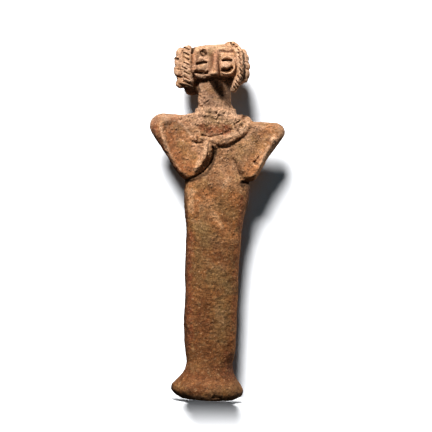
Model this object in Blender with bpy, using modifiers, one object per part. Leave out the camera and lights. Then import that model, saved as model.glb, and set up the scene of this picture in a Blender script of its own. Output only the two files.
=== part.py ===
"""A hand-modelled terracotta pillar figure, standing on its flared foot.

The figure is one solid of fired clay: a flat pillar on a flared foot, two folded arms made as triangular
flaps, a neck with a collar, and a head with ring eyes, a pinched nose and plaits. Every lump of clay below is
modelled as its own shape. They are then kneaded into one closed body, as the maker pressed them together.

Frame: millimetres times MM, +Z up, the face towards -Y. Heights are drawn from the foot's round underside. The
underside is then pressed flat, and the origin is on that flat face, below the middle of the bounding box.
"""

import math

import bmesh
import bpy
import numpy as np
from mathutils import Euler, Matrix, Vector

MM = 0.001  # one millimetre, in metres

# Driving sizes, in millimetres.
GRAIN = 0.5  # edge of the cells that the clay is kneaded in
KNEADING = 4  # rounds of smoothing where lumps meet
SHARE_KEPT = 0.0495  # share of the kneaded faces that the finished solid keeps
RING_POINTS = 44  # points round a section of the body
ROW_STEP = 1.5  # height between two sections of the body

SOLE = 1.0  # height, on the drawing, of the flat face that the figure stands on
ARM_THICKNESS = 8.2
EDGE_SHARE = 0.46  # radius of a flap's round edge, as a share of its thickness
FACE_LOW = (158.0, -9.0)  # height and depth of the face plane at the lower eyelids
FACE_HIGH = (172.0, -4.4)  # and at the hair line
FACE_MIDDLE = -2.6  # where the nose stands
FACE_TURN = 0.26  # how much nearer the face plane comes for each step to the right

CLAY_COLOUR = (0.36, 0.17, 0.085, 1.0)
CLAY_ROUGHNESS = 0.85

# Sections of the body, bottom to top: height, left, right, front, back, squareness of the outline.
BODY_SECTIONS = (
    (-1.0, -6.0, 6.0, -7.0, 7.0, 2.1),
    (1.0, -11.6, 13.0, -11.0, 11.0, 2.1),
    (2.8, -15.2, 17.3, -13.8, 13.8, 2.2),
    (5.4, -17.3, 18.2, -15.3, 15.7, 2.2),
    (8.0, -16.4, 17.1, -14.4, 14.4, 2.3),
    (11.0, -13.8, 14.9, -12.3, 12.2, 2.5),
    (15.0, -11.0, 12.9, -10.2, 10.0, 2.7),
    (18.6, -10.2, 12.4, -9.1, 8.6, 2.9),
    (24.0, -11.2, 13.0, -8.7, 8.1, 3.1),
    (32.0, -11.9, 13.4, -8.8, 8.2, 3.4),
    (50.0, -12.5, 13.2, -9.0, 8.5, 3.4),
    (72.0, -13.1, 13.5, -9.2, 8.7, 3.4),
    (86.0, -13.4, 14.1, -9.4, 8.8, 3.4),
    (94.0, -14.4, 15.3, -9.6, 8.9, 3.4),
    (98.0, -14.7, 16.5, -9.7, 8.9, 3.3),
    (104.0, -14.9, 16.9, -9.9, 9.0, 3.2),
    (107.0, -14.7, 16.4, -9.6, 8.9, 3.0),
    (111.0, -14.3, 15.7, -8.4, 8.7, 2.9),
    (115.0, -14.8, 15.0, -7.3, 8.4, 2.8),
    (128.0, -18.0, 14.6, -6.9, 7.9, 2.6),
    (134.0, -18.0, 14.6, -7.0, 7.6, 2.4),
    (138.4, -13.4, 10.8, -7.1, 7.5, 2.2),
    (141.5, -10.8, 8.2, -6.8, 7.4, 2.1),
    (145.5, -10.3, 6.1, -6.3, 7.3, 2.0),
    (150.0, -10.2, 5.8, -6.1, 7.2, 2.0),
    (158.0, -10.5, 6.0, -6.1, 6.4, 2.0),
    (162.0, -9.0, 4.5, -4.5, 6.0, 2.0),
)

# Corners of each arm flap, seen from the front: across, height, radius of the corner.
LEFT_FLAP = ((-12.0, 139.0, 2.0), (-39.2, 139.6, 6.5), (-12.1, 102.3, 6.4), (1.6, 124.2, 3.0))
RIGHT_FLAP = ((9.0, 137.4, 2.0), (37.4, 137.4, 5.1), (24.6, 119.2, 12.0), (17.1, 103.0, 3.9), (6.8, 121.5, 3.0))


def clear_scene():
    """Removes whatever the file opened with."""
    for item in list(bpy.data.objects):
        bpy.data.objects.remove(item)


def clay_material():
    """Matt orange-brown fired clay."""
    material = bpy.data.materials.new("fired_clay")
    material.use_nodes = True
    shader = material.node_tree.nodes["Principled BSDF"]
    shader.inputs["Base Color"].default_value = CLAY_COLOUR
    shader.inputs["Roughness"].default_value = CLAY_ROUGHNESS
    shader.inputs["Metallic"].default_value = 0.0
    return material


def steady_curve(at, known, values):
    """Values at `at` on a cubic through the known ones that never overshoots them (Fritsch and Carlson)."""
    known = np.asarray(known, float)
    values = np.asarray(values, float)
    step = np.diff(known)
    slope = np.diff(values) / step
    bend = np.zeros_like(values)
    same_way = slope[:-1] * slope[1:] > 0
    bend[1:-1][same_way] = (2 * slope[:-1] * slope[1:] / (slope[:-1] + slope[1:] + 1e-12))[same_way]
    bend[0], bend[-1] = slope[0], slope[-1]
    i = np.clip(np.searchsorted(known, at) - 1, 0, len(step) - 1)
    t = (at - known[i]) / step[i]
    return (
        (1 + 2 * t) * (1 - t) ** 2 * values[i]
        + t * (1 - t) ** 2 * step[i] * bend[i]
        + t * t * (3 - 2 * t) * values[i + 1]
        + t * t * (t - 1) * step[i] * bend[i + 1]
    )


def face_depth(height, x=FACE_MIDDLE):
    """Depth of the face plane, tilted back with the height and turned a little to the figure's right."""
    share = (height - FACE_LOW[0]) / (FACE_HIGH[0] - FACE_LOW[0])
    return FACE_LOW[1] + share * (FACE_HIGH[1] - FACE_LOW[1]) - FACE_TURN * (x - FACE_MIDDLE)


class Clay:
    """Gathers the lumps of one figure, each a mesh object in a shared collection."""

    def __init__(self, collection):
        self.collection = collection
        self.lumps = []

    def add(self, name, mesh, matrix=None):
        """Puts a mesh among the lumps, with its place applied to its points."""
        if matrix is not None:
            mesh.transform(matrix)
        lump = bpy.data.objects.new(name, mesh)
        self.collection.objects.link(lump)
        self.lumps.append(lump)

    def loft(self, name, rings):
        """A closed skin through rings of points, capped at both ends."""
        bm = bmesh.new()
        loops = [[bm.verts.new(Vector(point) * MM) for point in ring] for ring in rings]
        for low, high in zip(loops, loops[1:]):
            for i in range(len(low)):
                j = (i + 1) % len(low)
                bm.faces.new((low[i], low[j], high[j], high[i]))
        bm.faces.new(list(reversed(loops[0])))
        bm.faces.new(loops[-1])
        bmesh.ops.recalc_face_normals(bm, faces=bm.faces)
        mesh = bpy.data.meshes.new(name)
        bm.to_mesh(mesh)
        bm.free()
        self.add(name, mesh)

    def ball(self, name, centre, radii, turn=(0.0, 0.0, 0.0)):
        """An ellipsoid with its centre and radii in millimetres, turned by degrees about X, Y and Z."""
        bm = bmesh.new()
        bmesh.ops.create_uvsphere(bm, u_segments=20, v_segments=14, radius=1.0)
        mesh = bpy.data.meshes.new(name)
        bm.to_mesh(mesh)
        bm.free()
        turned = Euler([math.radians(a) for a in turn]).to_matrix().to_4x4()
        scaled = Matrix.Diagonal([r * MM for r in radii] + [1.0])
        self.add(name, mesh, Matrix.Translation(Vector(centre) * MM) @ turned @ scaled)

    def from_curve(self, name, curve, matrix=None):
        """The closed mesh of a curve, which is then removed."""
        guide = bpy.data.objects.new(name, curve)
        self.collection.objects.link(guide)
        bpy.context.view_layer.update()
        mesh = bpy.data.meshes.new_from_object(guide.evaluated_get(bpy.context.evaluated_depsgraph_get()))
        bpy.data.objects.remove(guide)
        bm = bmesh.new()
        bm.from_mesh(mesh)
        bmesh.ops.remove_doubles(bm, verts=bm.verts, dist=1e-6)
        bmesh.ops.recalc_face_normals(bm, faces=bm.faces)
        bm.to_mesh(mesh)
        bm.free()
        self.add(name, mesh, matrix)

    def roll(self, name, points, radius):
        """A rolled strip of clay through points of (x, y, z, share of the radius)."""
        curve = bpy.data.curves.new(name, "CURVE")
        curve.dimensions = "3D"
        curve.bevel_depth = radius * MM
        curve.bevel_resolution = 4
        curve.use_fill_caps = True
        spline = curve.splines.new("NURBS")
        spline.points.add(len(points) - 1)
        for knot, (x, y, z, share) in zip(spline.points, points):
            knot.co = (x * MM, y * MM, z * MM, 1.0)
            knot.radius = share
        spline.use_endpoint_u = True
        spline.order_u = 4
        spline.resolution_u = 6
        self.from_curve(name, curve)

    def slab(self, name, outline, depth, thickness, turn, pivot):
        """A flat pressed piece: an outline seen from the front, with round edges, turned about a point."""
        edge = EDGE_SHARE * thickness
        curve = bpy.data.curves.new(name, "CURVE")
        curve.dimensions = "2D"
        curve.fill_mode = "BOTH"
        curve.extrude = (0.5 * thickness - edge) * MM
        curve.bevel_depth = edge * MM
        curve.offset = -edge * MM
        curve.bevel_resolution = 5
        spline = curve.splines.new("POLY")
        spline.points.add(len(outline) - 1)
        for knot, (x, z) in zip(spline.points, outline):
            knot.co = (x * MM, z * MM, 0.0, 1.0)
        spline.use_cyclic_u = True
        centre = Vector(pivot) * MM
        upright = Matrix.Rotation(math.radians(90.0), 4, "X")
        turned = Euler([math.radians(a) for a in turn]).to_matrix().to_4x4()
        placed = Matrix.Translation((0.0, depth * MM, 0.0))
        matrix = Matrix.Translation(centre) @ turned @ Matrix.Translation(-centre) @ placed @ upright
        self.from_curve(name, curve, matrix)

    def kneaded(self, name):
        """All lumps as one object, lowered so that the sole is at zero."""
        bm = bmesh.new()
        for lump in self.lumps:
            bm.from_mesh(lump.data)
            bpy.data.objects.remove(lump)
        mesh = bpy.data.meshes.new(name)
        bm.to_mesh(mesh)
        bm.free()
        mesh.transform(Matrix.Translation((0.0, 0.0, -SOLE * MM)))
        return bpy.data.objects.new(name, mesh)


def rounded(corners, steps=6):
    """The outline through corners of (x, z, radius), each corner turned into an arc."""
    outline = []
    for i, (x, z, radius) in enumerate(corners):
        here = Vector((x, z))
        before = (Vector(corners[i - 1][:2]) - here).normalized()
        after = (Vector(corners[(i + 1) % len(corners)][:2]) - here).normalized()
        half = before.angle(after) / 2
        centre = here + (before + after).normalized() * (radius / math.sin(half))
        start = here + before * (radius / math.tan(half)) - centre
        end = here + after * (radius / math.tan(half)) - centre
        sweep = start.angle_signed(end)
        for k in range(steps + 1):
            turned = start.copy()
            turned.rotate(Matrix.Rotation(-sweep * k / steps, 2))
            outline.append(tuple(centre + turned))
    return outline


def make_body(clay):
    """The foot, the pillar, the chest and the neck, as one lofted core."""
    stations = np.array(BODY_SECTIONS)
    heights = np.linspace(stations[0, 0], stations[-1, 0], round(np.ptp(stations[:, 0]) / ROW_STEP))
    left, right, front, back, square = (steady_curve(heights, stations[:, 0], stations[:, k]) for k in range(1, 6))
    turn = np.linspace(0.0, 2 * math.pi, RING_POINTS, endpoint=False)
    rings = []
    for z, x0, x1, y0, y1, n in zip(heights, left, right, front, back, square):
        across = np.sign(np.cos(turn)) * np.abs(np.cos(turn)) ** (2 / n)
        deep = np.sign(np.sin(turn)) * np.abs(np.sin(turn)) ** (2 / n)
        x = (x0 + x1) / 2 + across * (x1 - x0) / 2
        y = np.where(deep < 0, -deep * y0, deep * y1)
        rings.append(np.column_stack([x, y, np.full_like(x, z)]))
    clay.loft("body", rings)


def make_arms(clay):
    """Two arms folded up to the chest, each pressed into a triangular flap with raised rims."""
    clay.slab("left_flap", rounded(LEFT_FLAP), -3.2, ARM_THICKNESS, (-6.9, 0.0, -2.7), (-12.0, 0.0, 132.0))
    clay.slab("right_flap", rounded(RIGHT_FLAP), -2.4, ARM_THICKNESS, (-6.6, 0.0, -2.8), (14.0, 0.0, 132.0))
    clay.roll(
        "left_rim",
        ((-23.0, -4.4, 137.0, 0.7), (-28.6, -5.2, 134.6, 0.9), (-28.4, -6.0, 129.4, 1.0), (-24.6, -7.3, 121.6, 1.0),
         (-19.0, -8.5, 113.0, 1.0), (-13.6, -8.2, 108.6, 0.9), (-8.6, -9.0, 112.6, 1.0), (-5.2, -8.6, 118.0, 1.0),
         (-3.8, -7.6, 125.2, 0.8)),
        2.4,
    )
    clay.roll(
        "right_rim",
        ((27.6, -5.8, 131.2, 0.6), (26.8, -7.0, 126.6, 1.0), (23.4, -7.8, 119.4, 1.0), (20.4, -8.6, 112.4, 1.0),
         (17.2, -8.4, 109.2, 0.9), (14.6, -7.4, 111.4, 0.7)),
        2.2,
    )


def make_neck_trim(clay):
    """The bib over the chest, the collar round the neck, and the necklace laid over them."""
    clay.ball("bib", (-1.6, -3.4, 133.0), (14.5, 4.4, 7.6))
    clay.roll(
        "collar",
        ((-10.8, 1.0, 141.4, 0.8), (-9.6, -5.2, 141.4, 1.0), (-1.6, -7.6, 141.2, 1.0), (6.4, -5.2, 141.4, 1.0),
         (7.8, 1.0, 141.4, 0.8)),
        1.5,
    )
    clay.roll(
        "necklace",
        ((8.6, 7.0, 138.6, 0.8), (13.2, 3.6, 138.0, 0.9), (15.4, -1.0, 136.8, 1.0), (14.2, -5.0, 135.2, 1.05),
         (12.2, -6.6, 132.8, 1.1), (7.6, -6.8, 129.6, 1.05), (2.6, -7.0, 127.3, 0.95), (-3.4, -7.6, 127.1, 0.6),
         (-8.4, -7.6, 127.8, 0.5), (-10.6, -7.6, 127.7, 0.6)),
        2.1,
    )
    clay.roll(
        "necklace_scar",
        ((-10.6, -7.6, 127.8, 0.8), (-15.0, -7.2, 130.4, 1.0), (-19.2, -6.6, 133.2, 1.0), (-22.0, -5.6, 136.8, 0.8)),
        1.2,
    )


def make_eye(clay, side, centre, half_width, half_height):
    """A ring of clay with a pellet in it, lying on the face plane."""
    x, z = centre
    turns = 12
    ring = []
    for k in range(turns + 1):
        a = 2 * math.pi * k / turns
        across = x + half_width * math.cos(a)
        height = z + half_height * math.sin(a)
        ring.append((across, face_depth(height, across) - 0.5, height, 1.0))
    clay.roll(f"{side}_eye_ring", ring, 1.1)
    clay.ball(f"{side}_eye_pellet", (x, face_depth(z, x) - 0.9, z), (2.8, 1.3, 1.9), (-18.0, 0.0, -14.5))


def make_head(clay):
    """The skull, the tilted face with its pinched nose, and the eyes."""
    clay.ball("throat", (-4.8, -2.2, 150.4), (5.6, 4.7, 9.4))
    clay.ball("skull", (-4.4, 2.2, 163.9), (14.4, 8.2, 10.6), (0.0, -5.0, 0.0))
    clay.ball("face", (-2.9, -3.4, 164.0), (11.6, 4.4, 9.0), (-18.5, 0.0, -14.5))
    clay.ball("brow", (-3.2, -1.6, 170.8), (11.8, 4.8, 2.9))
    clay.roll(
        "nose",
        ((-2.4, face_depth(171.0) + 0.6, 171.0, 0.5), (-2.5, face_depth(167.0) - 0.6, 167.0, 0.7),
         (-2.8, face_depth(162.5) - 2.6, 162.5, 0.9), (-3.1, face_depth(159.4) - 5.4, 159.4, 1.15),
         (-3.2, face_depth(158.2) - 4.4, 158.2, 1.2), (-3.0, face_depth(157.4) + 0.6, 157.4, 1.0)),
        2.1,
    )
    make_eye(clay, "left", (-8.9, 162.7), 2.5, 4.3)
    make_eye(clay, "right", (3.6, 164.0), 2.95, 4.3)


def make_plait(clay, name, path, half_width, pitch, slant):
    """A twisted strand: slanted lumps that overlap along a path of (x, y, z) points."""
    points = [Vector(p) for p in path]
    lengths = np.concatenate([[0.0], np.cumsum([(b - a).length for a, b in zip(points, points[1:])])])
    count = max(2, round(lengths[-1] / pitch) + 1)
    for k, s in enumerate(np.linspace(0.0, lengths[-1], count)):
        centre = [float(steady_curve(np.array([s]), lengths, [p[axis] for p in points])[0]) for axis in range(3)]
        clay.ball(f"{name}_{k}", centre, (half_width, 2.3, 0.62 * pitch), (0.0, slant, 0.0))


def make_hair(clay):
    """Two bunches of hair, each with a twisted plait in front and a beaded one outside, and a plain back."""
    clay.ball("left_bunch", (-16.6, 0.9, 162.0), (4.9, 6.7, 10.2))
    clay.ball("right_bunch", (9.2, -0.4, 163.2), (4.2, 7.4, 9.0))
    clay.ball("back_hair", (-4.0, 4.9, 162.6), (15.4, 7.4, 11.6))
    make_plait(
        clay, "left_plait",
        ((-16.4, -4.6, 170.6), (-15.8, -6.8, 165.0), (-15.6, -7.4, 159.0), (-14.6, -6.8, 153.6)),
        2.6, 2.6, 24.0,
    )
    make_plait(
        clay, "left_beads",
        ((-18.4, -1.6, 169.4), (-20.2, -2.6, 165.4), (-19.9, -3.2, 160.2), (-18.5, -3.4, 154.6)),
        2.6, 4.4, 0.0,
    )
    clay.ball("left_tail", (-18.6, -3.4, 154.4), (2.6, 3.0, 2.6))
    clay.ball("left_bunch_foot", (-13.4, 1.2, 151.8), (3.7, 4.2, 3.0))
    make_plait(
        clay, "left_curl", ((-20.0, -4.4, 155.0), (-17.0, -6.2, 154.0), (-13.2, -6.4, 152.6)), 1.9, 2.4, 20.0,
    )
    make_plait(
        clay, "right_plait",
        ((2.8, -2.2, 173.6), (6.2, -4.4, 173.2), (8.8, -7.4, 168.6), (9.8, -9.2, 162.0), (9.0, -9.4, 156.6),
         (6.2, -8.0, 151.6)),
        2.0, 2.5, 30.0,
    )
    make_plait(
        clay, "right_beads",
        ((10.4, -3.6, 169.6), (11.6, -5.6, 165.8), (12.0, -6.4, 161.2), (11.6, -6.0, 157.4)),
        2.2, 4.2, 0.0,
    )


def table_block():
    """A block whose underside is the table: what is left of the figure above it stands flat."""
    half = 60.0 * MM
    tall = 200.0 * MM
    bm = bmesh.new()
    bmesh.ops.create_cube(bm, size=1.0)
    mesh = bpy.data.meshes.new("above_the_table")
    bm.to_mesh(mesh)
    bm.free()
    mesh.transform(Matrix.Translation((0.0, 0.0, tall / 2)) @ Matrix.Diagonal((2 * half, 2 * half, tall, 1.0)))
    block = bpy.data.objects.new("above_the_table", mesh)
    block.hide_render = True
    block.display_type = "WIRE"
    return block


def finish_clay(figure, block):
    """Fuses the lumps, softens their seams, thins the faces and cuts the foot flat."""
    fused = figure.modifiers.new("Fuse", "REMESH")
    fused.mode = "VOXEL"
    fused.voxel_size = GRAIN * MM
    softened = figure.modifiers.new("Soften", "SMOOTH")
    softened.factor = 0.5
    softened.iterations = KNEADING
    thinned = figure.modifiers.new("Thin", "DECIMATE")
    thinned.ratio = SHARE_KEPT
    flat = figure.modifiers.new("FlatFoot", "BOOLEAN")
    flat.operation = "INTERSECT"
    flat.object = block


def main():
    clear_scene()
    parts = bpy.data.collections.new("terracotta_fertility_figure")
    helpers = bpy.data.collections.new("helpers")
    for collection in (parts, helpers):
        bpy.context.scene.collection.children.link(collection)
    clay = Clay(parts)
    make_body(clay)
    make_arms(clay)
    make_neck_trim(clay)
    make_head(clay)
    make_hair(clay)
    figure = clay.kneaded("fertility_figure")
    figure.data.materials.append(clay_material())
    parts.objects.link(figure)
    block = table_block()
    helpers.objects.link(block)
    finish_clay(figure, block)


main()
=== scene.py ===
"""A hand-modelled terracotta fertility figure: its worn fired-clay surface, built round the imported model.

The maker's steps are followed in order. Lumps of clay are shaped as numpy grids. Some are kneaded into the
body and some are laid on it, cuts are pressed in, and then the years pit, wear and crust the clay.

Frame: +Z up, the face towards -Y. Shapes are drawn in millimetres, with heights from the foot's round
underside. SOLE is the drawn height of the flat face that the figure stands on, which is the frame's zero.
Left and right are the viewer's.
"""

import logging
import math
from collections.abc import Iterable, Sequence
from dataclasses import dataclass, field
from enum import Enum

import bpy
import numpy as np
import numpy.typing as npt
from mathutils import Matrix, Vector


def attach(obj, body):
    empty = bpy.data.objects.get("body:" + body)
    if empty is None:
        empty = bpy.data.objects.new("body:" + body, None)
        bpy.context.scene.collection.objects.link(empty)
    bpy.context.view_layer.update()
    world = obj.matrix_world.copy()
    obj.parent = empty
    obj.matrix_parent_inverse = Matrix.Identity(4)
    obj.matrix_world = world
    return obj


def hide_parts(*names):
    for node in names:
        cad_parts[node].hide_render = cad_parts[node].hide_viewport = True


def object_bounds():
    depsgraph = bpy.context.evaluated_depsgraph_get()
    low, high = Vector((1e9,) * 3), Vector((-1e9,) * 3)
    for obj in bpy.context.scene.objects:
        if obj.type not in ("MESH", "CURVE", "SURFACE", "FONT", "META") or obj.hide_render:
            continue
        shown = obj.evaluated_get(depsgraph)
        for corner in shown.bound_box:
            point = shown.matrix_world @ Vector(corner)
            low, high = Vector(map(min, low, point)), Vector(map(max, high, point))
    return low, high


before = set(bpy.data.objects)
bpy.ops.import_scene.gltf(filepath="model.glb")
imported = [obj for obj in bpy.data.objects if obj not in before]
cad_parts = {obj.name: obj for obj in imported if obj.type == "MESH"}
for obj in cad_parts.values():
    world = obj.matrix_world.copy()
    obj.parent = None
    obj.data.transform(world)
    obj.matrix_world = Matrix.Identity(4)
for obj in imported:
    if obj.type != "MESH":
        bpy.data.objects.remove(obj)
CAD_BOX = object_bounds()

Array = npt.NDArray[np.float64]
Pairs = Sequence[tuple[float, ...]]

LOG = logging.getLogger("figure")
NODE = "fertility_figure"

SOLE = 1.0
DRAWN_TOP = 175.2
MM = (CAD_BOX[1].z - CAD_BOX[0].z) / (DRAWN_TOP - SOLE)

FACE_LOW = (158.0, -9.0)  # height and depth of the cheeks' plane at the lower eyelids
FACE_HIGH = (172.0, -4.4)  # and at the hair line
FACE_MIDDLE = -2.6  # where the nose stands
FACE_TURN = 0.26  # how much nearer the plane comes for each step to the right

POLE_RING = 0.495 * math.pi  # the angle of a ball's last ring, just short of its pole
LAYER_SHIFT = 17.3  # how many cells each further layer of noise is moved by


class Seam(Enum):
    """How a lump of clay meets what it is pressed onto."""

    KNEADED = "worked in until the join is gone"
    LAID_ON = "pressed on, with its edge still showing"


class Lip(Enum):
    """The edge that a tool leaves round a mark."""

    SOFT = "a thumb's soft hollow"
    STEEP = "a blade's steep side"


class Lit(Enum):
    """What a lamp shines on."""

    FIGURE = "figure"
    BACKDROP = "backdrop"
    FLOOR = "floor"


# ---------------------------------------------------------------- numbers


def cubic(t: Array, start: Array, end: Array, leaving: Array, arriving: Array) -> Array:
    """Values of the cubic (Hermite's) that has given values and slopes at both ends.

    Args:
        t: places from 0 at the start to 1 at the end.
        start: value at the start.
        end: value at the end.
        leaving: slope at the start, as the rise over the whole stretch.
        arriving: slope at the end, likewise.

    Returns:
        The value at each place, in the arguments' common shape.
    """
    return (
        (1 + 2 * t) * (1 - t) ** 2 * start
        + t * (1 - t) ** 2 * leaving
        + t * t * (3 - 2 * t) * end
        + t * t * (t - 1) * arriving
    )


def steady_curve(at: Array, knots: Pairs) -> Array:
    """Values on a cubic through (place, value) knots that never overshoots them (Fritsch and Carlson).

    Args:
        at: places to read, in any shape.
        knots: (place, value) pairs in rising order of place.

    Returns:
        The value at each place, held level past both ends.
    """
    known, values = np.array(knots, float).T
    step = np.diff(known)
    slope = np.diff(values) / step
    bend = np.zeros_like(values)
    same_way = slope[:-1] * slope[1:] > 0
    bend[1:-1][same_way] = (2 * slope[:-1] * slope[1:] / (slope[:-1] + slope[1:] + 1e-12))[same_way]
    bend[0], bend[-1] = slope[0], slope[-1]
    place = np.clip(at, known[0], known[-1])
    i = np.clip(np.searchsorted(known, place) - 1, 0, len(step) - 1)
    t = (place - known[i]) / step[i]
    return cubic(t, values[i], values[i + 1], step[i] * bend[i], step[i] * bend[i + 1])


def full_turn(count: int) -> Array:
    """Angles evenly spaced round a circle."""
    return np.linspace(0, 2 * math.pi, count, endpoint=False)


def signed_power(value: Array, power: Array | float) -> Array:
    """A cosine or sine raised to a power, its sign kept; a lower power makes an outline squarer."""
    return np.sign(value) * np.abs(value) ** power


def run_lengths(points: Array) -> Array:
    """The length of a line of points up to each of them."""
    return np.concatenate([[0.0], np.cumsum(np.linalg.norm(np.diff(points, axis=0), axis=1))])


def free_curve(knots: Pairs, count: int) -> Array:
    """Points evenly spaced along a curve through all knots.

    Each stretch is a cubic whose slope at a knot is that of the line between the knots on either side.

    Args:
        knots: rows of numbers, of which the first three are the place in space.
        count: how many points to return.

    Returns:
        Array (count, numbers in a knot).
    """
    rows = np.array(knots, float)
    fine = 24
    padded = np.vstack([2 * rows[0] - rows[1], rows, 2 * rows[-1] - rows[-2]])
    slope = (padded[2:] - padded[:-2]) / 2
    t = np.linspace(0, 1, fine, endpoint=False)[None, :, None]
    dense = cubic(t, rows[:-1, None], rows[1:, None], slope[:-1, None], slope[1:, None])
    dense = np.vstack([dense.reshape(-1, rows.shape[1]), rows[-1]])
    length = run_lengths(dense[:, :3])
    at = np.linspace(0, length[-1], count)
    return np.column_stack([np.interp(at, length, column) for column in dense.T])


def ease(value: Array, low: float, high: float) -> Array:
    """0 below low, 1 above high, and an S-shaped rise between them; low may be the larger."""
    t = np.clip((value - low) / (high - low), 0.0, 1.0)
    return t * t * (3 - 2 * t)


def lattice_value(cell: npt.NDArray[np.int64], seed: int) -> Array:
    """A fixed number from -1 to 1 for each whole-number cell, made by multiplying and folding its bits.

    Args:
        cell: array (..., 3) of whole numbers.
        seed: picks one of many such lattices.

    Returns:
        Array (...) of numbers.
    """
    wide = cell.astype(np.uint64)
    mixed = wide[..., 0] * np.uint64(0x9E3779B97F4A7C15) + wide[..., 1] * np.uint64(0xC2B2AE3D27D4EB4F)
    mixed += wide[..., 2] * np.uint64(0x165667B19E3779F9) + np.uint64(seed * 0x27D4EB2F165667C5 % 2**64)
    mixed ^= mixed >> np.uint64(29)
    mixed *= np.uint64(0xBF58476D1CE4E5B9)
    mixed ^= mixed >> np.uint64(32)
    return (mixed >> np.uint64(11)).astype(float) / 2**52 - 1.0


def noise(points: Array, size: float, seed: int, layers: int = 1, gain: float = 0.5) -> Array:
    """Value noise: lattice numbers blended between cell corners with a fifth-degree ease, in layers.

    Each further layer has cells half as large and counts `gain` times as much as the one before.

    Args:
        points: array (n, 3), in millimetres.
        size: edge of the first layer's cells, in millimetres.
        seed: picks the pattern.
        layers: how many layers are added up.
        gain: weight of a layer against the one before it.

    Returns:
        Array (n,), about -1 to 1.
    """
    total = np.zeros(len(points))
    weight = 1.0
    for layer in range(layers):
        place = points * (2**layer / size) + LAYER_SHIFT * layer
        corner = np.floor(place)
        t = place - corner
        t = t**3 * (t * (6 * t - 15) + 10)
        value = np.zeros(len(points))
        for step in np.ndindex(2, 2, 2):
            share = np.prod(np.where(step, t, 1 - t), axis=1)
            value += share * lattice_value(corner.astype(np.int64) + np.array(step), seed + layer)
        total += weight * value
        weight *= gain
    return total


def spots(points: Array, size: float, share: float, seed: int) -> Array:
    """How near each point is to a scattered spot: 1 at its middle and 0 from half a cell away.

    A share of the lattice's cells holds one spot each, at a place taken from the lattice's own numbers.

    Args:
        points: array (n, 3), in millimetres.
        size: edge of a cell, in millimetres.
        share: share of the cells that hold a spot.
        seed: picks the scatter.

    Returns:
        Array (n,) from 0 to 1.
    """
    place = points / size
    corner = np.floor(place).astype(np.int64)
    best = np.zeros(len(points))
    for step in np.ndindex(3, 3, 3):
        cell = corner + np.array(step) - 1
        middle = cell + 0.5 + 0.35 * np.column_stack([lattice_value(cell, seed + k) for k in (1, 2, 3)])
        radius = 0.32 + 0.16 * lattice_value(cell, seed + 4)
        near = 1 - np.linalg.norm(place - middle, axis=1) / radius
        best = np.maximum(best, np.where(lattice_value(cell, seed) * 0.5 + 0.5 < share, near, 0.0))
    return best


def line_distance(x: Array, z: Array, line: Pairs) -> Array:
    """How far points of the front view are from a bent line.

    Args:
        x: places across.
        z: heights.
        line: (x, z) corners of the line.

    Returns:
        Distance in millimetres.
    """
    corners = np.array(line, float)
    legs = np.diff(corners, axis=0)
    size = np.linalg.norm(legs, axis=1)
    nearest = np.full(x.shape, np.inf)
    for (x0, z0), (dx, dz), leg in zip(corners, legs, size):
        t = np.clip(((x - x0) * dx + (z - z0) * dz) / leg**2, 0, 1)
        nearest = np.minimum(np.hypot(x - x0 - t * dx, z - z0 - t * dz), nearest)
    return nearest


def bell(distance: Array, width: float) -> Array:
    """1 at no distance, falling off as exp(-(distance / width) squared)."""
    return np.exp(-((distance / width) ** 2))


def face_depth(height: Array | float, x: Array | float = FACE_MIDDLE) -> Array | float:
    """Depth of the face plane, tilted back with the height and turned a little to the figure's right."""
    share = (height - FACE_LOW[0]) / (FACE_HIGH[0] - FACE_LOW[0])
    return FACE_LOW[1] + share * (FACE_HIGH[1] - FACE_LOW[1]) - FACE_TURN * (x - FACE_MIDDLE)


# ---------------------------------------------------------------- lumps of clay


@dataclass
class Lump:
    """One closed shape of clay: its points in millimetres, its triangles and how it meets the rest."""

    name: str
    points: Array
    triangles: npt.NDArray[np.int64]
    seam: Seam = Seam.KNEADED


def skin(name: str, rings: Array, seam: Seam, endless: bool = False) -> Lump:
    """Closes a grid of points into a lump.

    Column j of ring i joins column j + 1, round the ring, and ring i joins ring i + 1. The first and last
    rings close on a pole at their middle, unless the rings themselves run round in a loop.

    Args:
        name: the lump's name.
        rings: array (rows, columns, 3).
        seam: how the lump meets the rest.
        endless: whether the last ring joins the first.

    Returns:
        The lump.
    """
    rows, columns = rings.shape[:2]
    i, j = np.meshgrid(np.arange(rows if endless else rows - 1), np.arange(columns), indexing="ij")
    here, right = i * columns + j, i * columns + (j + 1) % columns
    above = (i + 1) % rows * columns + j
    above_right = (i + 1) % rows * columns + (j + 1) % columns
    quads = [np.stack([here, right, above_right], -1), np.stack([here, above_right, above], -1)]
    points = rings.reshape(-1, 3)
    triangles = [q.reshape(-1, 3) for q in quads]
    if not endless:
        points = np.vstack([points, rings[0].mean(0), rings[-1].mean(0)])
        ring = np.arange(columns)
        after = (ring + 1) % columns
        top = (rows - 1) * columns
        triangles.append(np.column_stack([after, ring, np.full(columns, rows * columns)]))
        triangles.append(np.column_stack([top + ring, top + after, np.full(columns, rows * columns + 1)]))
    return Lump(name, points, np.vstack(triangles), seam)


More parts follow.
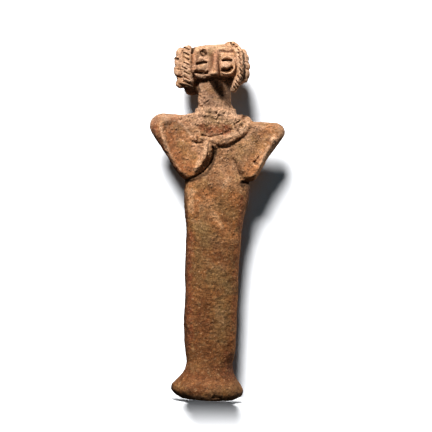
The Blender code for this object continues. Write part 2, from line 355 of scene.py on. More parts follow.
@dataclass
class Ball:
    """A rounded lump: a superellipsoid, tilted about X, leaned about Y and turned about Z, in degrees."""

    name: str
    centre: tuple[float, float, float]
    radii: tuple[float, float, float]
    square: float = 2.0
    tilt: float = 0.0
    lean: float = 0.0
    turn: float = 0.0
    seam: Seam = Seam.KNEADED
    rows: int = 40
    columns: int = 64

    def relief(self, turn: Array, rise: Array) -> Array:
        """Share of the radius added at an angle round the upright axis and an angle above the middle."""
        return np.zeros(np.broadcast(turn, rise).shape)

    def build(self) -> Lump:
        """Signed powers of cosine and sine of two angles give the surface, which is turned and placed."""
        rise = np.linspace(-POLE_RING, POLE_RING, self.rows)[:, None]
        turn = full_turn(self.columns)[None, :]
        waves = (np.cos(rise), np.sin(rise), np.cos(turn), np.sin(turn))
        level, upright, across, deep = (signed_power(wave, 2.0 / self.square) for wave in waves)
        unit = np.stack([level * across, level * deep, upright * np.ones_like(turn)], -1)
        shape = unit * np.array(self.radii) * (1 + self.relief(turn, rise))[..., None]
        tilt, lean, spin = math.radians(self.tilt), math.radians(self.lean), math.radians(self.turn)
        x, y, z = np.moveaxis(shape, -1, 0)
        y, z = y * math.cos(tilt) - z * math.sin(tilt), y * math.sin(tilt) + z * math.cos(tilt)
        x, z = x * math.cos(lean) + z * math.sin(lean), z * math.cos(lean) - x * math.sin(lean)
        x, y = x * math.cos(spin) - y * math.sin(spin), x * math.sin(spin) + y * math.cos(spin)
        return skin(self.name, np.stack([x, y, z], -1) + np.array(self.centre), self.seam)


@dataclass
class Strand:
    """A rolled strip of clay along a curve, pressed to an oval section, with rounded or cut ends.

    Each knot is (x, y, z, half the width, half the thickness). The thickness is measured along `outward`.
    """

    name: str
    knots: Pairs
    outward: tuple[float, float, float] = (0.0, -1.0, 0.15)
    square: float = 2.0
    blunt: float = 1.0
    seam: Seam = Seam.LAID_ON
    spacing: float = 0.3
    columns: int = 40

    def relief(self, along: Array, around: Array) -> Array:
        """Share of the section's size added at a length along the strand and an angle round it."""
        return np.zeros(np.broadcast(along, around).shape)

    def path(self) -> tuple[Array, Array, float]:
        """The strand's points, its half sizes and its length."""
        rough = free_curve(self.knots, 200)
        length = float(run_lengths(rough[:, :3])[-1])
        fine = free_curve(self.knots, max(12, round(length / self.spacing)))
        return fine[:, :3], fine[:, 3:5], length

    def build(self) -> Lump:
        """Carries the section along the curve: across it, and square to that and to the curve."""
        centre, half, length = self.path()
        ahead = np.gradient(centre, axis=0)
        ahead /= np.linalg.norm(ahead, axis=1)[:, None]
        across = np.cross(ahead, np.array(self.outward))
        across /= np.linalg.norm(across, axis=1)[:, None]
        out = np.cross(across, ahead)
        along = np.linspace(0, length, len(centre))[:, None]
        around = full_turn(self.columns)[None, :]
        to_end = np.minimum(along, length - along) / (self.blunt * half[:, :1])
        rounded = np.sqrt(np.clip(1 - (1 - np.clip(to_end, 0, 1)) ** 2, 0.01, 1))
        size = rounded * (1 + self.relief(along, around))
        power = 2.0 / self.square
        wide = signed_power(np.cos(around), power) * size * half[:, :1]
        deep = signed_power(np.sin(around), power) * size * half[:, 1:]
        rings = centre[:, None] + wide[..., None] * across[:, None] + deep[..., None] * out[:, None]
        return skin(self.name, rings, self.seam)


@dataclass
class Plait(Strand):
    """A strand scored with a row of short slanted cuts, as a plait of hair.

    A cut's line is where the place along the strand, less the slope times the share across it, is a whole
    number of pitches from the first cut. Its depth falls off as a bell beside the line and as a parabola to
    its ends.
    """

    first: float = 1.2
    pitch: float = 2.45
    slope: float = 1.0
    width: float = 0.42
    middle: float = 0.0
    reach: float = 0.9
    depth: float = 0.5
    swell: float = 0.07

    def relief(self, along: Array, around: Array) -> Array:
        """Takes the cuts out of the section where it faces the viewer, and swells it between them."""
        across = np.cos(around)
        place = (along - self.slope * across - self.first) / self.pitch
        gap = np.abs(place - np.round(place)) * self.pitch
        taper = np.clip(1 - ((across - self.middle) / self.reach) ** 2, 0, 1)
        facing = ease(np.sin(around), -0.2, 0.35)
        between = self.swell * ease(gap, 0, self.pitch / 2)
        return facing * (between - self.depth * bell(gap, self.width) * taper)


@dataclass
class Beads(Strand):
    """A strand pinched at even steps into a row of lumps: |sine| of the place along it, over the pitch."""

    first: float = 4.4
    pitch: float = 4.4
    depth: float = 0.3

    def relief(self, along: Array, around: Array) -> Array:
        """Takes a pinch out all round at each step."""
        lump = np.abs(np.sin(math.pi * (along - self.first + 0.5 * np.cos(around)) / self.pitch))
        return -self.depth * (1 - lump**0.5)


@dataclass
class Slab:
    """A pressed plate seen from the front: rounded corners, a leaning middle surface and a round edge.

    Each corner is (x, z, radius). The middle surface's depth is `depth` at height 0 and x 0, plus `across`
    times x, plus `up` times the height.
    """

    name: str
    corners: Pairs
    depth: float
    across: float
    up: float
    half: float
    edge: float
    ridges: Sequence[tuple[Pairs, float, float]] = ()
    seam: Seam = Seam.KNEADED
    rows: int = 44
    columns: int = 220

    def outline(self) -> Array:
        """The corners joined by straight runs and arcs, as points evenly spaced round it."""
        arcs = []
        places = np.array(self.corners, float)
        for before, here, after in zip(np.roll(places, 1, 0), places, np.roll(places, -1, 0)):
            back, ahead = before[:2] - here[:2], after[:2] - here[:2]
            back, ahead = back / np.linalg.norm(back), ahead / np.linalg.norm(ahead)
            half = math.acos(float(back @ ahead)) / 2
            middle = (back + ahead) / np.linalg.norm(back + ahead)
            centre = here[:2] + middle * here[2] / math.sin(half)
            start, end = (here[:2] + side * here[2] / math.tan(half) - centre for side in (back, ahead))
            sweep = math.atan2(start[0] * end[1] - start[1] * end[0], float(start @ end))
            t = np.linspace(0, sweep, 16)
            arcs.append(centre + np.column_stack(
                [start[0] * np.cos(t) - start[1] * np.sin(t), start[0] * np.sin(t) + start[1] * np.cos(t)]
            ))
        loop = np.vstack(arcs + [arcs[0][:1]])
        length = run_lengths(loop)
        at = np.linspace(0, length[-1], self.columns, endpoint=False)
        return np.column_stack([np.interp(at, length, column) for column in loop.T])

    def relief(self, x: Array, z: Array) -> Array:
        """Height added to the front: a bell of a given height and width along each ridge line."""
        total = np.zeros(x.shape)
        for line, height, width in self.ridges:
            total += height * bell(line_distance(x, z, line), width)
        return total

    def build(self) -> Lump:
        """Rings widen from the middle to the outline on the front, and shrink to it again on the back.

        They lie closest near the outline. Where a ring is nearer to it than `edge`, the half thickness
        follows a quarter circle.
        """
        outline = self.outline()
        centre = outline.mean(0)
        reach = 1 - (1 - np.linspace(0.02, 1, self.rows)) ** 1.8
        place = centre + reach[:, None, None] * (outline - centre)
        inset = (1 - reach)[:, None] * np.linalg.norm(outline - centre, axis=1)
        rounding = np.sqrt(1 - (1 - np.clip(inset / self.edge, 0, 1)) ** 2)
        x, z = place[..., 0], place[..., 1]
        middle = self.depth + self.across * x + self.up * z
        front = middle - rounding * (self.half + self.relief(x, z))
        back = middle + rounding * self.half
        rings = np.concatenate([np.stack([x, front, z], -1), np.stack([x, back, z], -1)[-2::-1]])
        return skin(self.name, rings, self.seam)


@dataclass(frozen=True)
class Mark:
    """A mark pressed or scratched into the front, along a line in the front view.

    The line's corners are (x, z). A negative depth raises the clay. `nearer` limits the mark to clay whose
    depth is below it, and `ragged` is the share by which noise widens and narrows it.
    """

    width: float
    depth: float
    line: Pairs
    lip: Lip = Lip.SOFT
    nearer: float = 99.0
    ragged: float = 0.0

    def press(self, points: Array, normals: Array) -> Array:
        """How far each point moves along the depth axis.

        Args:
            points: array (n, 3).
            normals: array (n, 3) of unit normals.

        Returns:
            Array (n,), positive where the clay is pushed back.
        """
        distance = line_distance(points[:, 0], points[:, 2], self.line)
        if self.ragged:
            distance = distance * (1 + self.ragged * noise(points, 1.4, 311, layers=2))
        profile = bell(distance, self.width)
        if self.lip is Lip.STEEP:
            profile = ease(distance, 1.15 * self.width, 0.55 * self.width)
        facing = ease(-normals[:, 1], 0.05, 0.45)
        inside = ease(points[:, 1], self.nearer + 0.6, self.nearer - 0.6)
        return self.depth * profile * facing * inside


def groove(width: float, depth: float, *line: tuple[float, ...], **more: float) -> Mark:
    """A soft-sided mark through the line's corners."""
    return Mark(width, depth, line, **more)


def cut(width: float, depth: float, *line: tuple[float, ...], **more: float) -> Mark:
    """A steep-sided mark through the line's corners."""
    return Mark(width, depth, line, Lip.STEEP, **more)


def circle(x: float, z: float, radius: float, steps: int = 16) -> Pairs:
    """The (x, z) corners of a closed ring."""
    turn = np.linspace(0, 2 * math.pi, steps + 1)
    return tuple(zip(x + radius * np.cos(turn), z + radius * np.sin(turn)))


# ---------------------------------------------------------------- sub-assemblies


@dataclass
class Body:
    """Foot, pillar, chest and neck: one column whose four sides follow their own curves up the height.

    Each curve has knots of height and reach. `square` has knots of height and squareness of the section.
    """

    left: Pairs = (
        (-1, -6), (1, -11.6), (2.8, -15.2), (5.6, -17.3), (7.4, -16.8), (9.8, -14.8), (12.6, -12.3),
        (15.4, -10.9), (18.6, -10.2), (23.5, -11.1), (29, -11.8), (51, -12.5), (73.5, -13.1), (84.7, -13.3),
        (94.4, -14.4), (105.2, -14.9), (110, -14.2), (128, -18), (134, -18), (137.6, -14.6), (139.6, -12.2),
        (141.4, -10.8), (143.2, -10.3), (149, -10.2), (158, -10.5), (162, -9),
    )
    right: Pairs = (
        (-1, 6), (1, 13), (2.8, 17.3), (4.9, 18.2), (8.2, 17), (11.1, 14.9), (14.8, 12.9), (18.5, 12.4),
        (23.4, 13), (32, 13.4), (50, 13.2), (60, 13.2), (80.6, 13.7), (87.4, 14.2), (93.4, 15.2),
        (97.2, 16.4), (104, 16.9), (109, 16), (118, 14.5), (134, 14.6), (137.6, 11.8), (139.6, 9.6),
        (142.4, 7.6), (145, 6.2), (149, 5.8), (158, 6), (162, 4.5),
    )
    front: Pairs = (
        (-1, -12), (1, -15), (2.4, -15.9), (5, -16), (8, -14.8), (11, -12.3), (15, -10.2), (18.6, -9.1),
        (24, -8.7), (50, -9), (72, -9.2), (94, -9.6), (104, -9.9), (107, -9.6), (111, -8.4), (115, -7.3),
        (128, -6.9), (138.4, -7.1), (141.5, -6.8), (145.5, -6.3), (150, -6.1), (158, -6.1), (162, -4.5),
    )
    back: Pairs = (
        (-1, 7), (1, 11), (2.8, 13.8), (5.4, 15.6), (8, 14.4), (11, 12.2), (15, 10), (18.6, 8.6), (24, 8.1),
        (72, 8.7), (104, 9), (118, 8.2), (134, 7.6), (150, 7.2), (162, 6),
    )
    square: Pairs = (
        (-1, 2.1), (8, 2.3), (18, 2.9), (32, 3.4), (94, 3.4), (110, 2.9), (134, 2.4), (146, 2), (162, 2),
    )
    row_step: float = 0.8
    columns: int = 120

    def lumps(self) -> list[Lump]:
        """Sections up the height, each a superellipse from its left, right, front and back reach."""
        height = np.arange(self.left[0][0], self.left[-1][0], self.row_step)[:, None]
        curves = (self.left, self.right, self.front, self.back, self.square)
        x0, x1, y0, y1, power = (steady_curve(height, knots) for knots in curves)
        turn = full_turn(self.columns)[None, :]
        across = signed_power(np.cos(turn), 2 / power)
        deep = signed_power(np.sin(turn), 2 / power)
        x = (x0 + x1) / 2 + across * (x1 - x0) / 2
        y = np.where(deep < 0, -deep * y0, deep * y1)
        return [skin("column", np.stack([x, y, height + 0 * x], -1), Seam.KNEADED)]

    def marks(self) -> list[Mark]:
        """A chip in the foot's rim."""
        return [
            cut(0.8, 0.7, (3.4, 2.6), (5, 3.1), (7.2, 2.9), ragged=0.6),
            cut(0.4, 0.7, (5.2, 2.9), (7, 2.9), ragged=0.5),
            groove(0.4, 0.5, (3.6, 3.4), (3.9, 3), ragged=0.5),
        ]


@dataclass
class Arms:
    """Two arms folded to the chest, each a pressed triangular flap with a ridge inside its round edge."""

    left: Slab = field(default_factory=lambda: Slab(
        "left_arm",
        ((-12, 138.7, 2), (-39.6, 139.7, 6.4), (-12.1, 101.6, 6.4), (1.9, 124.4, 2.2)),
        depth=-19.7, across=-0.047, up=0.121, half=4.0, edge=4.2,
        ridges=(
            (((-24, 136), (-27.6, 134), (-27.4, 130.6), (-26, 126.6), (-24.6, 123.2), (-22.8, 119.8),
              (-20.6, 116.4), (-18.6, 113.2), (-16.6, 110.8)), 1.6, 1.1),
            (((-15.6, 110.4), (-12.8, 110.4), (-10.4, 111.6)), 0.3, 1.3),
            (((-9.2, 113), (-8.2, 114.4), (-6.2, 117.2), (-5, 120.4), (-4.6, 125.6)), 1.7, 1.1),
            (((-19, 127.5), (-15, 118)), -1.9, 4.8),
        ),
    ))
    right: Slab = field(default_factory=lambda: Slab(
        "right_arm",
        ((9, 137.2, 2), (37.8, 137.2, 5.1), (24.8, 119.2, 12), (17.3, 103.6, 3.9), (6.4, 121, 3)),
        depth=-16.85, across=-0.049, up=0.115, half=4.0, edge=3.8,
        ridges=(
            (((27.4, 128.8), (26.4, 125.8), (24.9, 122.8), (23.2, 119.8), (21.7, 116.4), (20.5, 113.2),
              (18.9, 110.6), (16.6, 110)), 1.6, 1.0),
            (((20.6, 128), (17.6, 118)), -1.4, 3.4),
        ),
    ))

    def lumps(self) -> list[Lump]:
        """Both flaps."""
        return [self.left.build(), self.right.build()]

    def marks(self) -> list[Mark]:
        """The forearm's split edge, the cut round the right arm, dark pits and crevices below the tips."""
        return [
            groove(0.28, 0.8, (-3.9, 125.2), (-4.1, 122), (-4.3, 119.4), ragged=0.5),
            groove(0.36, 0.9, (-2.1, 124), (-1.9, 120.4), (-2.6, 117.8), ragged=0.4),
            groove(0.8, 0.8, (-3.6, 117.6), (-3, 116.6), ragged=0.5),
            cut(0.6, 1.5, (-1.6, 123.4), (-1.2, 119.6), (-2.8, 115.6), (-5.6, 112), (-9.4, 109.2),
                (-14.2, 107.2), ragged=0.3),
            cut(1, 2, (13.8, 107.2), (18.6, 106.8), ragged=0.3),
            groove(0.45, 0.6, (8.3, 118.4), (9.8, 116.2), (10.4, 114), (11.6, 111.6), (13, 109.8),
                   (15.2, 107.6), ragged=0.4),
            groove(0.7, 0.6, (11.8, 111.5), (13.2, 111), ragged=0.5),
            cut(0.5, 0.9, (20.8, 120.2), (20.2, 118.9), ragged=0.6),
            cut(0.6, 1, (19.4, 117.9), (18.6, 117.2), (19.8, 116.4), ragged=0.6),
            groove(0.4, 0.4, (24.5, 134.3), (25.1, 134.5), ragged=0.4),
            groove(0.7, -0.3, (-27, 131.6), (-26.2, 127), (-24.6, 123), ragged=1),
            groove(0.9, -0.35, (-9.4, 117.4), (-8.4, 113.6), ragged=1),
            groove(0.8, -0.3, (22.6, 120.4), (21.2, 116.4), ragged=1),
            groove(0.7, -0.35, (26.9, 128.4), (27.2, 127.8), ragged=0.6),
        ]


@dataclass
class Neckwear:
    """The swelling of the chest, the collar round the neck and the strip necklace, broken at one end."""

    bib: Slab = field(default_factory=lambda: Slab(
        "bib",
        ((-21, 138.2, 1), (-17.4, 131.6, 3), (-10.8, 126.6, 2), (0.4, 125.4, 6), (10, 129.8, 4),
         (13, 137, 2), (6, 140.4, 2), (-10, 140.4, 2)),
        depth=-21.5, across=-0.05, up=0.12, half=1.6, edge=1.4,
        ridges=((((-6, 132), (5, 132)), -0.4, 2.6),),
    ))
    necklace: Strand = field(default_factory=lambda: Strand(
        "necklace",
        ((9, 6.4, 138.2, 2.2, 1.1), (12.6, 3.4, 137.6, 2.5, 1.3), (14.3, -0.8, 136.8, 2.4, 1.4),
         (14, -4.3, 135.4, 2.5, 1.5), (12.9, -5.9, 133.5, 2.6, 1.35), (11.3, -6.5, 131.6, 2.6, 1.3),
         (8.9, -6.7, 130.2, 2.7, 1.3), (6.4, -6.8, 128.7, 2.6, 1.25), (3.8, -6.9, 127.4, 2.5, 1.25),
         (1.2, -7.1, 126.9, 2.2, 1.25), (-1.6, -7.5, 127, 1.4, 1.2), (-4.2, -7.7, 127.3, 0.95, 1.1),
         (-6.6, -7.8, 127.7, 0.85, 1), (-8.3, -7.8, 127.9, 0.8, 1)),
        square=2.7, blunt=0.5,
    ))
    stub: Ball = field(default_factory=lambda: Ball(
        "necklace_stub", (-10.4, -8, 127.6), (0.9, 1, 1.7), square=2.4, seam=Seam.LAID_ON, rows=20,
        columns=28,
    ))
    collar_middle: tuple[float, float, float] = (-1.5, 0.4, 141.2)
    collar_reach: tuple[float, float] = (9.3, 7.0)
    collar_tube: tuple[float, float] = (0.7, 1.5)
    collar_sway: float = 0.3

    def collar(self) -> Lump:
        """An oval tube round the neck: a small section carried round an ellipse that rises and falls."""
        turn = full_turn(160)[:, None]
        around = full_turn(24)[None, :]
        out = np.sin(around) * self.collar_tube[0]
        x = self.collar_middle[0] + np.cos(turn) * (self.collar_reach[0] + out)
        y = self.collar_middle[1] + np.sin(turn) * (self.collar_reach[1] + out)
        z = self.collar_middle[2] + self.collar_tube[1] * np.cos(around)
        z = z + self.collar_sway * np.sin(2 * turn + 0.6)
        return skin("collar", np.stack(np.broadcast_arrays(x, y, z), -1), Seam.LAID_ON, endless=True)

    def lumps(self) -> list[Lump]:
        """The plate, the collar, the necklace and what is left of its other end."""
        return [self.bib.build(), self.collar(), self.necklace.build(), self.stub.build()]

    def marks(self) -> list[Mark]:
        """Grooves beside the necklace, the scar of its lost stretch and the collar's broken upper edge."""
        return [
            groove(0.7, -0.35, (-11, 142), (-6.6, 140.8), (-1, 141.4), (4, 140.6), (8.6, 141.6), ragged=1.6),
            groove(0.5, -0.4, (-10, 139.6), (-5, 139.2), (1, 139.6), (6, 139), ragged=1.6),
            groove(0.45, 0.7, (-7.4, 129.2), (-3.6, 128.6), (0, 129.4), (3.4, 130.6), (7, 132.6),
                   ragged=0.5),
            groove(0.5, 0.6, (-7, 129), (-5.8, 129), ragged=0.6),
            groove(0.4, 0.6, (-4.2, 128.6), (-2.6, 128.5), ragged=0.6),
            groove(0.6, 0.6, (3, 131.4), (3.5, 130.8), ragged=0.6),
            groove(0.9, 0.12, (-19.6, 133), (-15, 130), (-12.4, 127.6), (-11.6, 126.2), ragged=0.9),
            groove(1, -0.35, (-18, 134.6), (-14, 131.8), (-12, 130), ragged=1),
            groove(0.4, 0.8, (-11.8, 125.9), (-9.4, 125.2), (-7.2, 125.4), ragged=0.5),
            groove(0.3, 0.4, (-12.4, 123.4), (-11, 123.6), ragged=0.6),
            groove(0.8, -0.3, (13.6, 135.4), (12, 132.6), (9, 130.4), (5.4, 128.4), (1.4, 127), (-3, 127.2),
                   ragged=1.8),
            groove(0.45, 0.9, (8.2, 135.2), (8.9, 133.2), ragged=0.5),
            groove(0.4, 1.1, (9.2, 135.8), (11.2, 137.4), ragged=0.4),
            groove(0.4, 0.4, (12.2, 136.6), (15.6, 135.6), ragged=0.8),
            groove(0.4, 0.4, (11.6, 134.6), (14.6, 132.4), ragged=0.8),
            groove(0.4, 0.35, (9.6, 132.4), (11.8, 129.6), ragged=0.8),
            groove(0.35, 0.3, (6.6, 130.6), (8, 127.4), ragged=0.8),
            groove(0.5, 0.4, (1, 124), (4, 123.6), (6.4, 124.4), ragged=0.5),
            groove(0.35, 0.35, (7, 122.3), (7.6, 122.2), ragged=0.5),
            groove(0.7, 0.4, (-0.4, 122.6), (-0.2, 119.4), ragged=0.4),
        ]


@dataclass
class Eye:
    """A ring of clay on the face with a flat pellet inside, which leaves a slit above and below it."""

    name: str
    x: float
    z: float
    half_width: float
    half_height: float
    tube: float = 1.0
    pellet: tuple[float, float, float] = (2.9, 1.7, 1.75)
    lean: float = 0.0
    roundness: float = 0.85
    ring_out: float = 0.2
    ring_swell: float = 1.15
    pellet_out: float = 0.7

    def lumps(self) -> list[Lump]:
        """The ring is a small circle carried round an ellipse; the pellet is a flattened ball."""
        slope = math.atan2(FACE_HIGH[1] - FACE_LOW[1], FACE_HIGH[0] - FACE_LOW[0])
        up = np.array([0, math.sin(slope), math.cos(slope)])
        across = np.array([1.0, -FACE_TURN, 0])
        out = np.cross(across, up)
        middle = np.array([self.x, float(face_depth(self.z, self.x)), self.z])
        turn = full_turn(72)[:, None, None]
        around = full_turn(20)[None, :, None]
        wide = self.tube * np.cos(around)
        rings = (
            middle
            + across * signed_power(np.cos(turn), self.roundness) * (self.half_width + wide)
            + up * signed_power(np.sin(turn), self.roundness) * (self.half_height + wide)
            + out * (self.ring_out + self.tube * self.ring_swell * np.sin(around))
        )
        pellet = Ball(
            f"{self.name}_pellet", tuple(middle + self.pellet_out * out), self.pellet, square=2.3,
            lean=self.lean, tilt=-math.degrees(slope), turn=-math.degrees(math.atan(FACE_TURN)),
            seam=Seam.LAID_ON, rows=24, columns=36,
        )
        return [skin(f"{self.name}_ring", rings, Seam.LAID_ON, endless=True), pellet.build()]


@dataclass
class Head:
    """The skull, the face plate tilted back over the neck, the eyes and the pinched, jutting nose."""

    left_eye: Eye = field(default_factory=lambda: Eye(
        "left_eye", -8.9, 162.1, 2.6, 4.45, tube=0.9, pellet=(3.1, 1.25, 2.05), lean=-8.0,
    ))
    right_eye: Eye = field(default_factory=lambda: Eye(
        "right_eye", 3.6, 163.5, 2.95, 4.3, tube=0.85, pellet=(2.6, 1.3, 1.95), lean=3.0,
    ))
    nose_span: tuple[float, float] = (157.7, 170.6)
    nose_half: Pairs = ((158, 3), (160, 2.7), (164, 2), (170, 1.3))
    nose_middle: Pairs = ((158, -3.2), (162, -2.7), (170, -2.4))
    nose_out: Pairs = ((158, 5.6), (159, 7.6), (161, 6.2), (164, 4.2), (167, 2.3), (170, 0.9))
    nose_root: float = 1.5

    def nose(self) -> Lump:
        """Sections up the height, each a bell-shaped ridge before the cheeks and a flat back inside them.

        The ridge springs from `nose_root` inside the cheeks, stands out from them by `nose_out` and is
        broadest at its foot.
        """
        height = np.linspace(*self.nose_span, 44)[:, None]
        turn = full_turn(40)[None, :]
        profiles = (self.nose_half, self.nose_middle, self.nose_out)
        half, middle, out = (steady_curve(height, knots) for knots in profiles)
        reach = out + self.nose_root
        x = middle + half * signed_power(np.cos(turn), 0.8)
        front = np.clip(np.sin(turn), 0, 1) ** 1.1
        y = face_depth(height, x) + self.nose_root - reach * front + np.clip(-np.sin(turn), 0, 1)
        return skin("nose", np.stack([x, y, height + 0 * x], -1), Seam.LAID_ON)

    def lumps(self) -> list[Lump]:
        """Throat, skull and face are kneaded together; eyes and nose are laid on."""
        return [
            Ball("throat", (-5.2, -2, 150), (5.1, 4.7, 8.6), square=3.0).build(),
            Ball("skull", (-4.4, 2.4, 163.9), (14.4, 7.4, 9.9), square=2.7, lean=-5.0).build(),
            Ball("face", (-2.9, -3.5, 164.3), (11.3, 3.6, 7.6), square=2.9, tilt=-18.5, turn=-14.5).build(),
            Ball("brow", (-3.4, -0.8, 170.9), (12.4, 5, 3), square=2.6, lean=-6.0).build(),
            self.nose(),
            Strand(
                "temple",
                ((-13.5, -3.2, 169.4, 1.5, 1.2), (-13.4, -5.2, 166.8, 2.1, 1.5),
                 (-13.2, -6.3, 163.4, 2.2, 1.5), (-13, -7, 160.4, 2, 1.5), (-12.8, -6.8, 158.8, 1.4, 1.1)),
                seam=Seam.KNEADED,
            ).build(),
            Strand(
                "left_jaw",
                ((-12.2, -6.2, 158.8, 1.2, 1), (-9.2, -7.2, 157.7, 1.3, 1.1), (-6.2, -8, 157.3, 1.1, 1)),
                outward=(0, -1, 0), seam=Seam.KNEADED,
            ).build(),
            *self.left_eye.lumps(),
            *self.right_eye.lumps(),
        ]

    def marks(self) -> list[Mark]:
        """Slits beside the pellets, a stamped ring and a dent on the brow, and the nose's side grooves."""
        return [
            cut(0.62, 2.2, (-11.5, 163.6), (-9.6, 164.2), (-8.2, 164.6), (-6.9, 164.6)),
            cut(0.75, 2.5, (-11.8, 159.7), (-9.2, 159.2), (-7.6, 159.2), (-5.9, 159.5)),
            cut(0.62, 2.3, (1, 165.8), (2.6, 166.2), (5.2, 165.9)),
            cut(0.85, 2.5, (1.2, 160.9), (3, 160.5), (4.6, 161), (5.7, 162.2)),
            groove(0.22, 0.3, (1.8, 164.6), (4.8, 164.4)),
            groove(0.38, 1.1, *circle(-8.5, 169.2, 1.35), ragged=0.4),
            cut(0.6, 0.9, (-8.6, 169.2), (-8.2, 169), ragged=0.3),
            cut(0.42, 1.1, (-9.3, 170.2), (-7.9, 169.4), (-6.9, 168.4), ragged=0.3),
            groove(0.9, 0.5, (-5.2, 170.6), (-5, 168.6)),
            groove(0.45, 0.8, (-0.4, 170.2), (1.2, 170.5), (3.2, 170.2), (5.4, 170.3), ragged=0.5),
            groove(0.5, 0.5, (-4.2, 168), (-4.1, 164), (-4.6, 161)),
            groove(0.5, 0.6, (-0.3, 168), (-0.2, 164.4), (0.2, 161.6)),
            groove(0.6, 0.9, (-11.8, 155.4), (-11.4, 155), ragged=0.4),
        ]


@dataclass
class BackHair(Ball):
    """The mass of hair behind the head, combed down in locks: |sine| of the angle round it."""

    locks: int = 26
    sweep: float = 1.2
    depth: float = 0.10

    def relief(self, turn: Array, rise: Array) -> Array:
        """Takes a groove out between locks, over the back and fading at the crown and the ends."""
        parting = 1 - np.abs(np.sin(self.locks * turn / 2 + self.sweep * rise)) ** 0.5
        return -self.depth * parting * ease(np.sin(turn), 0.0, 0.4) * ease(np.abs(rise), 1.35, 1.0)


